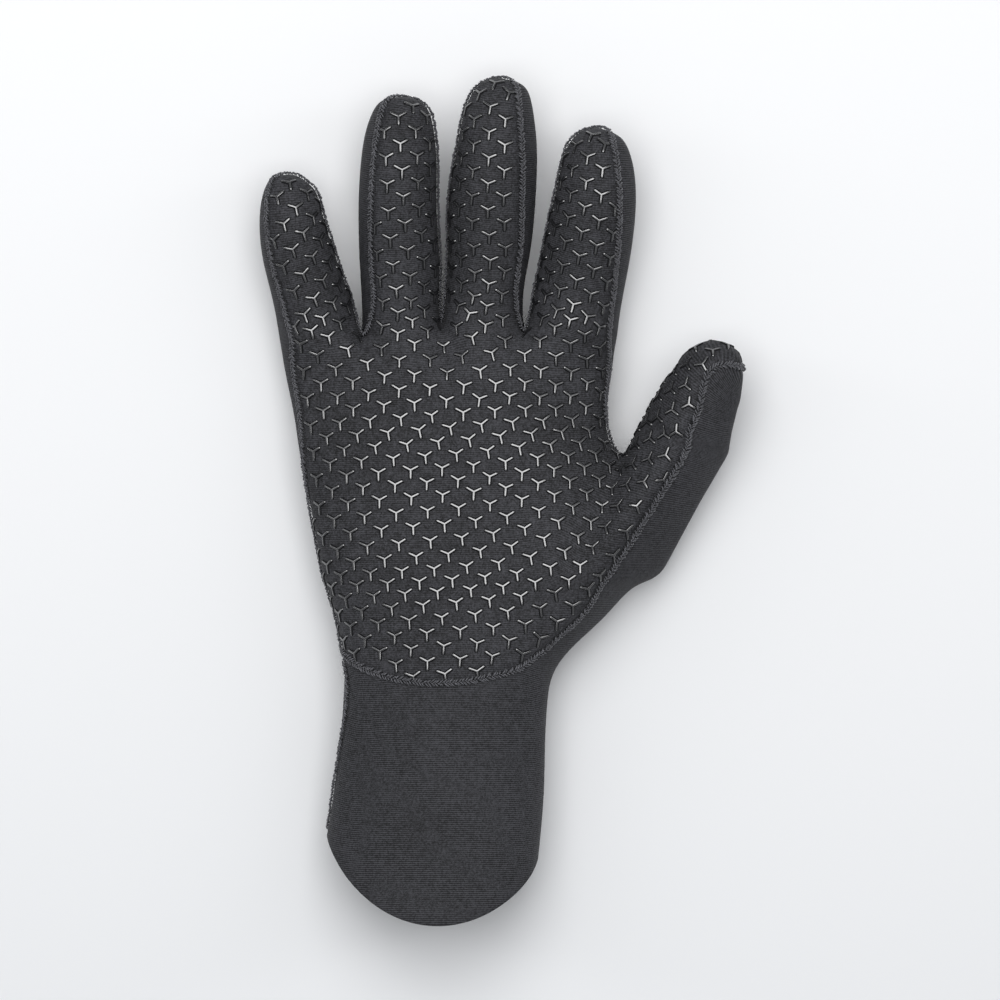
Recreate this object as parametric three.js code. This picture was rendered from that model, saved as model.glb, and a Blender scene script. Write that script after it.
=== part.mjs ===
// A right-hand neoprene diving glove, lying on its back with the palm up.
// Millimetres and degrees. +Z rises out of the palm, +Y runs to the finger tips and
// +X to the thumb. The origin is on the floor under the middle of the palm.

import * as THREE from 'three';

// Sheet and seams
const wall = 3;
const panelGap = 0.3;
const seamWidth = 2.4;
const seamThickness = 0.45;
const forkSeamShare = 0.3;
const forkSeamLift = 2.5;
const seamClearance = 0.38;
const restPress = 1.4;

// Palm and cuff
const forkReach = 56;
const palmLength = 106;
const palmWidth = 109;
const palmDepth = 40;
const cuffLength = 65;
const cuffWidth = 68;
const cuffDepth = 46;
const hemDrop = 25;
const hemTilt = 3.8;

// Fingers and thumb: length from fork to tip, width and depth of the filled tube, how
// high the tip curls above the base, and the lean of the axis towards the thumb
const littleLength = 53;
const littleWidth = 26;
const littleDepth = 25;
const littleCurl = 8;
const littleLean = -10;
const ringLength = 77.8;
const ringWidth = 26.5;
const ringDepth = 26;
const ringCurl = 12;
const ringLean = 0.3;
const middleLength = 81.5;
const middleWidth = 28;
const middleDepth = 27;
const middleCurl = 12;
const middleLean = 4;
const indexLength = 67;
const indexWidth = 29.5;
const indexDepth = 27.5;
const indexCurl = 11;
const indexLean = 10;
const thumbLength = 61.5;
const thumbWidth = 30;
const thumbDepth = 29;
const thumbCurl = 8;
const thumbLean = 26;
const fingerRootHeight = 16;
const thumbRootHeight = 20;

// Sections of the palm from the finger forks to the wrist. at: share of the palm
// length. left and right: edges as shares of the palm width. deep: share of the palm
// depth. ulnar and radial: how far round towards the palm side the seam lies, degrees.
// edge: step from the radial seam to the first point behind it, share of the way round
// the back. front and back: how far the middle of the row drops, shares of the hem drop.
const palmRows = [
  { at: 0.124, left: -0.512, right: 0.503, deep: 0.83, ulnar: 23, radial: 17, edge: 0.1, front: 0, back: 0 },
  { at: 0.256, left: -0.483, right: 0.481, deep: 0.88, ulnar: 20, radial: 12, edge: 0.1, front: 0, back: 0 },
  { at: 0.39, left: -0.46, right: 0.525, deep: 0.93, ulnar: 14, radial: -8, edge: 0.1, front: 0, back: 0 },
  { at: 0.547, left: -0.428, right: 0.6, deep: 0.97, ulnar: 5, radial: 25, edge: 0.16, front: 0, back: 0 },
  { at: 0.717, left: -0.396, right: 0.679, deep: 1.02, ulnar: 0, radial: 50, edge: 0.2, front: 0.03, back: 0 },
  { at: 0.8, left: -0.375, right: 0.573, deep: 1.05, ulnar: 0, radial: 45, edge: 0.19, front: 0.12, back: 0 },
  { at: 0.9, left: -0.346, right: 0.467, deep: 1.06, ulnar: 0, radial: 39, edge: 0.16, front: 0.24, back: 0 },
  { at: 1, left: -0.329, right: 0.36, deep: 1.06, ulnar: 4, radial: 40, edge: 0.13, front: 0.42, back: 0 },
];

// Sections of the cuff from the wrist to the hem. at: share of the cuff length.
// side: shift of the middle, share of the cuff width. wide and deep: shares of the cuff
// width and depth. tilt: share of the hem tilt. The other columns are as above.
const cuffRows = [
  { at: 0.185, side: -0.015, wide: 1.005, deep: 0.95, ulnar: 16, radial: 20, edge: 0.11, front: 0.5, back: 0.05, tilt: 0 },
  { at: 0.43, side: -0.033, wide: 0.997, deep: 0.97, ulnar: 11, radial: 5, edge: 0.1, front: 0.64, back: 0.2, tilt: 0.2 },
  { at: 0.7, side: -0.052, wide: 1.02, deep: 1.01, ulnar: 2, radial: 0, edge: 0.1, front: 0.82, back: 0.42, tilt: 0.6 },
  { at: 1, side: -0.085, wide: 1.032, deep: 1.04, ulnar: -4, radial: 0, edge: 0.1, front: 1, back: 0.6, tilt: 1 },
];

// Sections of a finger from its base to its tip. at: share of the length. side: shift
// towards the thumb, share of the width. wide and deep: shares of the width and depth.
// lift: share of the curl.
const littleRows = [
  { at: 0, side: -0.01, wide: 1.06, deep: 1.1, lift: 0 },
  { at: 0.13, side: -0.035, wide: 1, deep: 1.04, lift: 0.06 },
  { at: 0.31, side: -0.07, wide: 0.95, deep: 1, lift: 0.3 },
  { at: 0.52, side: -0.11, wide: 0.92, deep: 0.96, lift: 0.68 },
  { at: 0.71, side: -0.115, wide: 0.84, deep: 0.9, lift: 0.95 },
  { at: 0.87, side: -0.08, wide: 0.72, deep: 0.74, lift: 1 },
  { at: 0.96, side: -0.05, wide: 0.5, deep: 0.5, lift: 0.97 },
  { at: 1, side: 0, wide: 0, deep: 0, lift: 0.94 },
];
const ringRows = [
  { at: 0, side: 0, wide: 1, deep: 1.12, lift: 0 },
  { at: 0.12, side: -0.03, wide: 0.97, deep: 1.05, lift: 0.05 },
  { at: 0.3, side: -0.04, wide: 1.01, deep: 1, lift: 0.3 },
  { at: 0.52, side: -0.065, wide: 0.99, deep: 0.96, lift: 0.7 },
  { at: 0.72, side: -0.05, wide: 0.96, deep: 0.92, lift: 0.96 },
  { at: 0.87, side: -0.03, wide: 0.84, deep: 0.8, lift: 1 },
  { at: 0.965, side: -0.01, wide: 0.6, deep: 0.56, lift: 0.97 },
  { at: 1, side: 0, wide: 0, deep: 0, lift: 0.94 },
];
const middleRows = [
  { at: 0, side: 0, wide: 0.97, deep: 1.1, lift: 0 },
  { at: 0.12, side: -0.005, wide: 0.92, deep: 1.04, lift: 0.05 },
  { at: 0.3, side: 0.01, wide: 0.98, deep: 1, lift: 0.3 },
  { at: 0.5, side: 0.005, wide: 1.03, deep: 0.98, lift: 0.7 },
  { at: 0.69, side: 0.02, wide: 0.96, deep: 0.93, lift: 0.95 },
  { at: 0.85, side: 0.015, wide: 0.83, deep: 0.8, lift: 1 },
  { at: 0.96, side: 0.03, wide: 0.58, deep: 0.56, lift: 0.97 },
  { at: 1, side: 0.01, wide: 0, deep: 0, lift: 0.94 },
];
const indexRows = [
  { at: 0, side: 0.05, wide: 1.07, deep: 1.1, lift: 0 },
  { at: 0.12, side: 0.07, wide: 1, deep: 1.05, lift: 0.05 },
  { at: 0.3, side: 0.075, wide: 0.99, deep: 1, lift: 0.3 },
  { at: 0.5, side: 0.075, wide: 0.97, deep: 0.97, lift: 0.68 },
  { at: 0.7, side: 0.055, wide: 0.89, deep: 0.91, lift: 0.95 },
  { at: 0.87, side: 0, wide: 0.74, deep: 0.76, lift: 1 },
  { at: 0.96, side: -0.02, wide: 0.48, deep: 0.5, lift: 0.97 },
  { at: 1, side: -0.03, wide: 0, deep: 0, lift: 0.94 },
];

// Sections of the thumb, from the middle of its opening in the palm. outer and inner:
// where the two seams lie, degrees round from the outer side over the palm side.
// edge: the same for the first point behind the outer seam. The last sections turn to
// the outer side, because the palm panel closes over the tip.
const thumbRows = [
  { at: 0.31, side: 0.04, wide: 1, deep: 1.02, lift: 0.3, outer: 81, inner: 232, edge: -8 },
  { at: 0.47, side: 0.03, wide: 0.97, deep: 0.98, lift: 0.5, outer: 85, inner: 245, edge: 8 },
  { at: 0.6, side: 0.01, wide: 0.9, deep: 0.93, lift: 0.7, outer: 84, inner: 255, edge: 24 },
  { at: 0.7, side: 0.02, wide: 0.84, deep: 0.86, lift: 0.85, outer: 92, inner: 262, edge: 34 },
  { at: 0.81, side: 0.07, wide: 0.8, deep: 0.78, lift: 0.95, outer: 104, inner: 266, edge: 42 },
  { at: 0.875, side: 0.21, wide: 0.56, deep: 0.55, lift: 1, outer: 100, inner: 268, edge: 34 },
  { at: 0.9, side: 0.29, wide: 0, deep: 0, lift: 1, outer: 0, inner: 0, edge: 0 },
];

// Fingers in order from the little finger. across: middle of the base, share of the
// palm width. rise: height of the base over the fork line, share of the palm length.
// ulnar and radial: seam angles at the base and at the tip, degrees round from the
// thumb side over the palm side.
const fingers = [
  { length: littleLength, width: littleWidth, depth: littleDepth, curl: littleCurl,
    lean: littleLean, rows: littleRows, across: -0.396, rise: 0,
    ulnarBase: 133, ulnarTip: 140, radialBase: 0, radialTip: 8 },
  { length: ringLength, width: ringWidth, depth: ringDepth, curl: ringCurl,
    lean: ringLean, rows: ringRows, across: -0.146, rise: 0,
    ulnarBase: 133, ulnarTip: 130, radialBase: 2, radialTip: 6 },
  { length: middleLength, width: middleWidth, depth: middleDepth, curl: middleCurl,
    lean: middleLean, rows: middleRows, across: 0.102, rise: 0.026,
    ulnarBase: 180, ulnarTip: 178, radialBase: 36, radialTip: 58 },
  { length: indexLength, width: indexWidth, depth: indexDepth, curl: indexCurl,
    lean: indexLean, rows: indexRows, across: 0.357, rise: 0.014,
    ulnarBase: 180, ulnarTip: 176, radialBase: 36, radialTip: 62 },
];

// Forks between the fingers. rise: height over the fork line, share of the palm length.
// dip: how far the palm side of the fork lies below its bottom, in wall thicknesses.
const forks = [
  { rise: -0.056, dip: 1.2 },
  { rise: 0.01, dip: 1.9 },
  { rise: -0.046, dip: 1.2 },
];
const forkFront = 0.36;
const forkBack = 0.38;

// Where the thumb leaves the palm, as shares of the palm width and length
const thumbAcross = 0.598;
const thumbDown = 0.547;

// Dents and swellings of the palm side. across and down: place, shares of the palm width
// and length. reach: radius, share of the palm width. sink: depth in wall thicknesses,
// negative where the surface swells.
const dents = [
  { across: 0.02, down: 0.5, reach: 0.2, sink: 0.8 },
  { across: 0.4, down: 0.72, reach: 0.2, sink: -0.7 },
  { across: -0.3, down: 0.66, reach: 0.2, sink: -0.5 },
  { across: -0.02, down: 0.06, reach: 0.07, sink: 0.7 },
  { across: -0.02, down: 1.1, reach: 0.16, sink: 0.3 },
];

// How a row that drops bows across its width, and how far the bow leans to the ulnar side
const bowPower = 0.7;
const bowSkew = 0.08;

// The palm sections are flatter than an ellipse
const palmSquareness = 2.25;
const arcSamples = 90;
const fitPasses = 14;

// Columns of a palm row: nine points over the palm side, one on each edge, nine on the back
const frontColumns = 9;
const windowTop = 3;
const windowBottom = 5;
const wristRow = 8;

// The back is modelled in two pieces that meet at this row, behind the knuckles
const knuckleRow = 1;

const radians = (degrees) => (degrees * Math.PI) / 180;
const mix = (a, b, share) => a + (b - a) * share;

// One point of an oval section. turn: 0 on the thumb side, 90 on the palm side.
function ovalPoint(oval, turn) {
  const power = 2 / palmSquareness;
  const c = Math.cos(radians(turn));
  const s = Math.sin(radians(turn));
  return {
    x: oval.x + oval.halfWidth * Math.sign(c) * Math.abs(c) ** power,
    z: oval.z + oval.halfDepth * Math.sign(s) * Math.abs(s) ** power,
  };
}

// Points spread along an oval between two turns, the ends included. The first step is a
// given share of the way and the others are even.
function spreadAlong(oval, from, to, count, firstStep) {
  const samples = [];
  let length = 0;
  for (let i = 0; i <= arcSamples; i += 1) {
    const point = ovalPoint(oval, mix(from, to, i / arcSamples));
    if (i > 0) {
      const last = samples[i - 1];
      length += Math.hypot(point.x - last.x, point.z - last.z);
    }
    samples.push({ ...point, length });
  }
  const points = [];
  for (let k = 0; k < count; k += 1) {
    const wanted = length * (k === 0 ? 0 : mix(firstStep, 1, (k - 1) / (count - 2)));
    let i = samples.findIndex((sample) => sample.length >= wanted - 1e-9);
    i = Math.max(i, 1);
    const a = samples[i - 1];
    const b = samples[i];
    const share = (wanted - a.length) / (b.length - a.length);
    points.push({ x: mix(a.x, b.x, share), z: mix(a.z, b.z, share) });
  }
  return points;
}

// The cage: points that the surface passes through, and quads tagged with their panel
const targets = [];
const quads = [];

// Points in the finger forks that only pull the surface and needn't lie on it
const loosePoints = new Set();

function addPoint(x, y, z) {
  targets.push(new THREE.Vector3(x, y, z));
  return targets.length - 1;
}

function addLoosePoint(x, y, z) {
  loosePoints.add(targets.length);
  return addPoint(x, y, z);
}

function addQuad(a, b, c, d, panel) {
  quads.push({ corners: [a, b, c, d], panel });
}

// A palm or cuff row as a list of point numbers: ulnar edge, palm side, radial edge, back
function sectionRow(section) {
  const { oval, y, ulnar, radial, edge, front, back, tilt, skipRadial } = section;
  const steps = frontColumns + 1;
  const frontPoints = spreadAlong(oval, 180 - ulnar, radial, steps + 1, 1 / steps);
  const backPoints = spreadAlong(oval, radial, -180 - ulnar, steps + 1, edge);
  const row = { front: [], back: [] };
  const middle = (frontPoints[0].x + frontPoints[steps].x) / 2;
  const half = (frontPoints[steps].x - frontPoints[0].x) / 2;
  const place = (point, drop) => {
    const across = (point.x - middle) / half;
    const bow = Math.max(1 - across * across, 0) ** bowPower * (1 - bowSkew * across);
    return addPoint(point.x, y - tilt * across - drop * bow, point.z);
  };
  frontPoints.forEach((point, k) => {
    if (k === 0) {
      row.ulnar = place(point, front);
    } else if (k === steps) {
      row.radial = skipRadial ? null : place(point, front);
    } else {
      row.front.push(place(point, front));
    }
  });
  backPoints.slice(1, -1).forEach((point) => {
    row.back.unshift(place(point, back));
  });
  return row;
}

const wristY = forkReach - palmLength;

function palmSection(spec, number) {
  const halfDepth = (spec.deep * palmDepth) / 2;
  const oval = {
    x: ((spec.left + spec.right) / 2) * palmWidth,
    z: halfDepth - restPress,
    halfWidth: ((spec.right - spec.left) / 2) * palmWidth,
    halfDepth,
  };
  return sectionRow({
    oval,
    y: forkReach - spec.at * palmLength,
    ulnar: spec.ulnar,
    radial: spec.radial,
    edge: spec.edge,
    front: spec.front * hemDrop,
    back: spec.back * hemDrop,
    tilt: 0,
    skipRadial: number > windowTop && number < windowBottom,
  });
}

function cuffSection(spec) {
  const halfDepth = (spec.deep * cuffDepth) / 2;
  const oval = {
    x: spec.side * cuffWidth,
    z: halfDepth - restPress,
    halfWidth: (spec.wide * cuffWidth) / 2,
    halfDepth,
  };
  return sectionRow({
    oval,
    y: wristY - spec.at * cuffLength,
    ulnar: spec.ulnar,
    radial: spec.radial,
    edge: spec.edge,
    front: spec.front * hemDrop,
    back: spec.back * hemDrop,
    tilt: spec.tilt * hemTilt,
    skipRadial: false,
  });
}

// Middle points and directions of a finger or thumb
function axisOf(root, lean, length, width, curl, rows) {
  const forward = new THREE.Vector3(Math.sin(radians(lean)), Math.cos(radians(lean)), 0);
  const across = new THREE.Vector3(forward.y, -forward.x, 0);
  const middles = rows.map((row) => {
    const middle = root.clone();
    middle.addScaledVector(forward, row.at * length);
    middle.addScaledVector(across, row.side * width);
    middle.z += row.lift * curl;
    return middle;
  });
  return { across, middles };
}

// A ring of eight points about one middle point. Order: radial seam, three points over
// the palm side, ulnar seam, three points over the back.
function ringPoints(axis, i, halfWidth, halfDepth, turns) {
  const { radialTurn, ulnarTurn, edgeTurn } = turns;
  const last = axis.middles.length - 1;
  const ahead = axis.middles[Math.min(i + 1, last)];
  const behind = axis.middles[Math.max(i - 1, 0)];
  const along = ahead.clone().sub(behind).normalize();
  const up = new THREE.Vector3().crossVectors(axis.across, along).normalize();
  const side = new THREE.Vector3().crossVectors(along, up).normalize();
  const ring = [];
  for (let k = 0; k < 8; k += 1) {
    const turn = k < 4
      ? mix(radialTurn, ulnarTurn, k / 4)
      : mix(ulnarTurn, edgeTurn + 360, (k - 4) / 3);
    const point = axis.middles[i].clone();
    point.addScaledVector(side, halfWidth * Math.cos(radians(turn)));
    point.addScaledVector(up, halfDepth * Math.sin(radians(turn)));
    ring.push(point);
  }
  return ring;
}

// Skins a tube from a base ring through more rings to a closed tip
function skinTube(baseRing, rings, tip, backPanel) {
  let lower = baseRing;
  rings.forEach((ring) => {
    const upper = ring.map((point) => addPoint(point.x, point.y, point.z));
    for (let k = 0; k < 8; k += 1) {
      const next = (k + 1) % 8;
      addQuad(lower[k], upper[k], upper[next], lower[next], k < 4 ? 'palm' : backPanel);
    }
    lower = upper;
  });
  const centre = addPoint(tip.x, tip.y, tip.z);
  addQuad(lower[0], centre, lower[2], lower[1], 'palm');
  addQuad(lower[2], centre, lower[4], lower[3], 'palm');
  addQuad(lower[4], centre, lower[6], lower[5], backPanel);
  addQuad(lower[6], centre, lower[0], lower[7], backPanel);
}

function fingerRings(finger) {
  const root = new THREE.Vector3(
    finger.across * palmWidth,
    forkReach + finger.rise * palmLength,
    fingerRootHeight,
  );
  const axis = axisOf(root, finger.lean, finger.length, finger.width, finger.curl, finger.rows);
  const rings = finger.rows.slice(0, -1).map((row, i) => {
    const radialTurn = mix(finger.radialBase, finger.radialTip, row.at);
    const ulnarTurn = mix(finger.ulnarBase, finger.ulnarTip, row.at);
    const edgeTurn = mix(ulnarTurn, radialTurn + 360, 3 / 4) - 360;
    const halfWidth = (row.wide * finger.width) / 2;
    const halfDepth = (row.deep * finger.depth) / 2;
    const turns = { radialTurn, ulnarTurn, edgeTurn };
    return ringPoints(axis, i, halfWidth, halfDepth, turns);
  });
  return { rings, tip: axis.middles[axis.middles.length - 1], root };
}

// The first palm row joins the finger bases through the forks
function forkRow(tubes) {
  const row = { front: [], back: [], forks: [] };
  const place = (point) => addPoint(point.x, point.y, point.z);
  tubes.forEach((tube, i) => {
    const base = tube.rings[0];
    if (i === 0) {
      row.ulnar = place(base[4]);
      row.front.push(place(base[3]));
      row.back.push(place(base[5]));
    }
    row.front.push(place(base[2]));
    row.back.push(place(base[6]));
    if (i < tubes.length - 1) {
      const fork = forks[i];
      const x = (tube.root.x + tubes[i + 1].root.x) / 2;
      const y = forkReach + fork.rise * palmLength;
      const dip = fork.dip * wall;
      row.front.push(addLoosePoint(x, y - dip, fingerRootHeight + forkFront * ringDepth));
      row.forks.push(addLoosePoint(x, y, (base[0].z + tubes[i + 1].rings[0][4].z) / 2));
      row.back.push(addLoosePoint(x, y - dip, fingerRootHeight - forkBack * ringDepth));
    } else {
      row.front.push(place(base[1]));
      row.back.push(place(base[7]));
      row.radial = place(base[0]);
    }
  });
  return row;
}

// Every point of a row in order round the section, starting at the ulnar edge
const roundRow = (row) => [row.ulnar, ...row.front, row.radial, ...row.back.slice().reverse()];

function skinRows(rows) {
  for (let j = 0; j + 1 < rows.length; j += 1) {
    const upper = roundRow(rows[j]);
    const lower = roundRow(rows[j + 1]);
    const count = upper.length;
    for (let k = 0; k < count; k += 1) {
      const next = (k + 1) % count;
      const corners = [lower[k], lower[next], upper[next], upper[k]];
      const inFront = k <= frontColumns && j < wristRow;
      const behind = j < knuckleRow ? 'fingers' : 'back';
      if (corners.every((corner) => corner !== null)) {
        addQuad(...corners, inFront ? 'palm' : behind);
      }
    }
  }
}

function buildCage() {
  const tubes = fingers.map(fingerRings);
  const rows = [forkRow(tubes), ...palmRows.map((spec, i) => palmSection(spec, i + 1)),
    ...cuffRows.map(cuffSection)];
  skinRows(rows);
  const top = rows[0];
  tubes.forEach((tube, i) => {
    const f = 2 * i;
    const ulnar = i === 0 ? top.ulnar : top.forks[i - 1];
    const radial = i === tubes.length - 1 ? top.radial : top.forks[i];
    const base = [radial, top.front[f + 2], top.front[f + 1], top.front[f], ulnar,
      top.back[f], top.back[f + 1], top.back[f + 2]];
    skinTube(base, tube.rings.slice(1), tube.tip, 'fingers');
  });
  skinThumb(rows);
  const cuffEdges = [];
  for (let j = wristRow; j + 1 < rows.length; j += 1) {
    cuffEdges.push([rows[j].ulnar, rows[j + 1].ulnar]);
  }
  return { points: targets, quads, seamEdges: cuffEdges };
}

function skinThumb(rows) {
  const last = frontColumns - 1;
  const above = rows[windowTop];
  const level = rows[windowTop + 1];
  const below = rows[windowBottom];
  const base = [below.radial, below.front[last], level.front[last], above.front[last],
    above.radial, above.back[last], level.back[last], below.back[last]];
  const root = new THREE.Vector3(
    thumbAcross * palmWidth,
    forkReach - thumbDown * palmLength,
    thumbRootHeight,
  );
  const axis = axisOf(root, thumbLean, thumbLength, thumbWidth, thumbCurl, thumbRows);
  const rings = thumbRows.slice(0, -1).map((row, i) => {
    const turns = { radialTurn: row.outer, ulnarTurn: row.inner, edgeTurn: row.edge };
    const halfWidth = (row.wide * thumbWidth) / 2;
    const halfDepth = (row.deep * thumbDepth) / 2;
    return ringPoints(axis, i, halfWidth, halfDepth, turns);
  });
  skinTube(base, rings, axis.middles[axis.middles.length - 1], 'back');
}

const edgeKey = (a, b) => (a < b ? `${a}_${b}` : `${b}_${a}`);

// Neighbours of every point and the quads on both sides of every edge
function connect(mesh) {
  const edges = new Map();
  const around = mesh.points.map(() => ({ edges: [], faces: [] }));
  mesh.quads.forEach((quad, f) => {
    quad.corners.forEach((a, k) => {
      const b = quad.corners[(k + 1) % 4];
      const key = edgeKey(a, b);
      if (!edges.has(key)) {
        edges.set(key, { a, b, faces: [] });
        around[a].edges.push(key);
        around[b].edges.push(key);
      }
      edges.get(key).faces.push(f);
      around[a].faces.push(f);
    });
  });
  return { edges, around };
}

const otherEnd = (edge, point) => (edge.a === point ? edge.b : edge.a);

// Where each point of a Catmull-Clark cage lies on the smooth surface
function limitPoints(mesh, links) {
  return mesh.points.map((point, p) => {
    const around = links.around[p];
    const rim = around.edges.map((key) => links.edges.get(key)).filter((e) => e.faces.length < 2);
    const limit = new THREE.Vector3();
    if (rim.length > 0) {
      limit.addScaledVector(point, 4 / 6);
      rim.forEach((edge) => limit.addScaledVector(mesh.points[otherEnd(edge, p)], 1 / 6));
      return limit;
    }
    const n = around.edges.length;
    const total = n * (n + 5);
    limit.addScaledVector(point, (n * n) / total);
    around.edges.forEach((key) => {
      const end = otherEnd(links.edges.get(key), p);
      limit.addScaledVector(mesh.points[end], 4 / total);
    });
    around.faces.forEach((f) => {
      const corners = mesh.quads[f].corners;
      const opposite = corners[(corners.indexOf(p) + 2) % 4];
      limit.addScaledVector(mesh.points[opposite], 1 / total);
    });
    return limit;
  });
}

// Moves the cage until the smooth surface passes through the wanted points
function fitCage(mesh) {
  const wanted = mesh.points.map((point) => point.clone());
  const fitted = { ...mesh, points: mesh.points.map((point) => point.clone()) };
  const links = connect(fitted);
  for (let pass = 0; pass < fitPasses; pass += 1) {
    const limit = limitPoints(fitted, links);
    fitted.points.forEach((point, p) => {
      if (!loosePoints.has(p)) {
        point.add(wanted[p]).sub(limit[p]);
      }
    });
  }
  return fitted;
}

// One Catmull-Clark step. Open edges stay smooth curves.
function subdivide(mesh) {
  const links = connect(mesh);
  const points = mesh.points.map(() => null);
  const facePoint = mesh.quads.map((quad) => {
    const middle = new THREE.Vector3();
    quad.corners.forEach((corner) => middle.addScaledVector(mesh.points[corner], 1 / 4));
    points.push(middle);
    return points.length - 1;
  });
  const edgePoint = new Map();
  links.edges.forEach((edge, key) => {
    const middle = mesh.points[edge.a].clone().add(mesh.points[edge.b]);
    if (edge.faces.length === 2) {
      edge.faces.forEach((f) => middle.add(points[facePoint[f]]));
      middle.multiplyScalar(1 / 4);
    } else {
      middle.multiplyScalar(1 / 2);
    }
    points.push(middle);
    edgePoint.set(key, points.length - 1);
  });
  mesh.points.forEach((point, p) => {
    const around = links.around[p];
    const rim = around.edges.map((key) => links.edges.get(key)).filter((e) => e.faces.length < 2);
    const moved = new THREE.Vector3();
    if (rim.length > 0) {
      moved.addScaledVector(point, 6 / 8);
      rim.forEach((edge) => moved.addScaledVector(mesh.points[otherEnd(edge, p)], 1 / 8));
    } else {
      const n = around.edges.length;
      moved.addScaledVector(point, (n - 2) / n);
      around.edges.forEach((key) => {
        const end = otherEnd(links.edges.get(key), p);
        moved.addScaledVector(mesh.points[end], 1 / (n * n));
      });
      around.faces.forEach((f) => moved.addScaledVector(points[facePoint[f]], 1 / (n * n)));
    }
    points[p] = moved;
  });
  const finer = [];
  mesh.quads.forEach((quad, f) => {
    quad.corners.forEach((corner, k) => {
      const next = quad.corners[(k + 1) % 4];
      const before = quad.corners[(k + 3) % 4];
      finer.push({
        corners: [corner, edgePoint.get(edgeKey(corner, next)), facePoint[f],
          edgePoint.get(edgeKey(before, corner))],
        panel: quad.panel,
      });
    });
  });
  const seamEdges = mesh.seamEdges.flatMap(([a, b]) => {
    const middle = edgePoint.get(edgeKey(a, b));
    return [[a, middle], [middle, b]];
  });
  return { points, quads: finer, seamEdges };
}

function pointNormals(mesh, points) {
  const normals = points.map(() => new THREE.Vector3());
  mesh.quads.forEach((quad) => {
    const [a, b, c, d] = quad.corners.map((corner) => points[corner]);
    const normal = new THREE.Vector3().crossVectors(c.clone().sub(a), d.clone().sub(b));
    normal.normalize();
    quad.corners.forEach((corner) => normals[corner].add(normal));
  });
  return normals.map((normal) => normal.normalize());
}

// Presses the dents in along the surface, and flattens what reaches below the floor
function pressDents(points, normals) {
  points.forEach((point, p) => {
    dents.forEach((dent) => {
      const x = dent.across * palmWidth;
      const y = forkReach - dent.down * palmLength;
      const far = Math.hypot(point.x - x, point.y - y) / (dent.reach * palmWidth);
      const facing = Math.max(normals[p].z, 0);
      point.addScaledVector(normals[p], -dent.sink * wall * facing * Math.exp(-far * far));
    });
    point.z = Math.max(point.z, 0);
  });
}

// The finished outer surface with its seams
function outerSurface() {
  const mesh = subdivide(fitCage(buildCage()));
  const links = connect(mesh);
  const points = limitPoints(mesh, links);
  pressDents(points, pointNormals(mesh, points));
  const normals = pointNormals(mesh, points);
  const seams = new Set(mesh.seamEdges.map(([a, b]) => edgeKey(a, b)));
  links.edges.forEach((edge, key) => {
    if (edge.faces.length === 2) {
      const [first, second] = edge.faces;
      if (mesh.quads[first].panel !== mesh.quads[second].panel) {
        seams.add(key);
      }
    }
  });
  return { mesh, links, points, normals, seams };
}

// Quads round one point, gathered into groups that no seam divides
function fans(surface, p) {
  const { mesh, links, seams } = surface;
  const faces = links.around[p].faces;
  const group = new Map(faces.map((f) => [f, f]));
  let changed = true;
  while (changed) {
    changed = false;
    links.around[p].edges.forEach((key) => {
      const edge = links.edges.get(key);
      if (edge.faces.length === 2 && !seams.has(key)) {
        const [first, second] = edge.faces;
        const least = Math.min(group.get(first), group.get(second));
        if (group.get(first) !== least || group.get(second) !== least) {
          group.set(first, least);
          group.set(second, least);
          changed = true;
        }
      }
    });
  }
  const result = new Map();
  group.forEach((label, f) => {
    if (!result.has(label)) {
      result.set(label, []);
    }
    result.get(label).push(f);
  });
  return [...result.values()].map((list) => ({ faces: list, panel: mesh.quads[list[0]].panel }));
}

// Direction along the surface from a point into a group of quads, square to the seam
function inward(surface, p, faces) {
  const normal = surface.normals[p];
  const into = new THREE.Vector3();
  const along = new THREE.Vector3();
  const uses = new Map();
  faces.forEach((f) => {
    const corners = surface.mesh.quads[f].corners;
    corners.forEach((corner) => into.add(surface.points[corner]).sub(surface.points[p]));
    const k = corners.indexOf(p);
    [corners[(k + 1) % 4], corners[(k + 3) % 4]].forEach((end) => {
      uses.set(end, (uses.get(end) ?? 0) + 1);
    });
  });
  [...uses.keys()].filter((end) => uses.get(end) === 1).forEach((end, i) => {
    const step = surface.points[end].clone().sub(surface.points[p]).normalize();
    along.addScaledVector(step, i === 0 ? 1 : -1);
  });
  const across = along.cross(normal).normalize();
  return across.multiplyScalar(Math.sign(across.dot(into)));
}

// A closed mesh from vertices and faces of three or four corners
function solidGeometry(vertices, faces) {
  const index = [];
  faces.forEach((face) => {
    index.push(face[0], face[1], face[2]);
    if (face.length === 4) {
      index.push(face[0], face[2], face[3]);
    }
  });
  const geometry = new THREE.BufferGeometry();
  const flat = vertices.flatMap((vertex) => [vertex.x, vertex.y, vertex.z]);
  geometry.setAttribute('position', new THREE.Float32BufferAttribute(flat, 3));
  geometry.setIndex(index);
  geometry.computeVertexNormals();
  return geometry;
}

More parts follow.
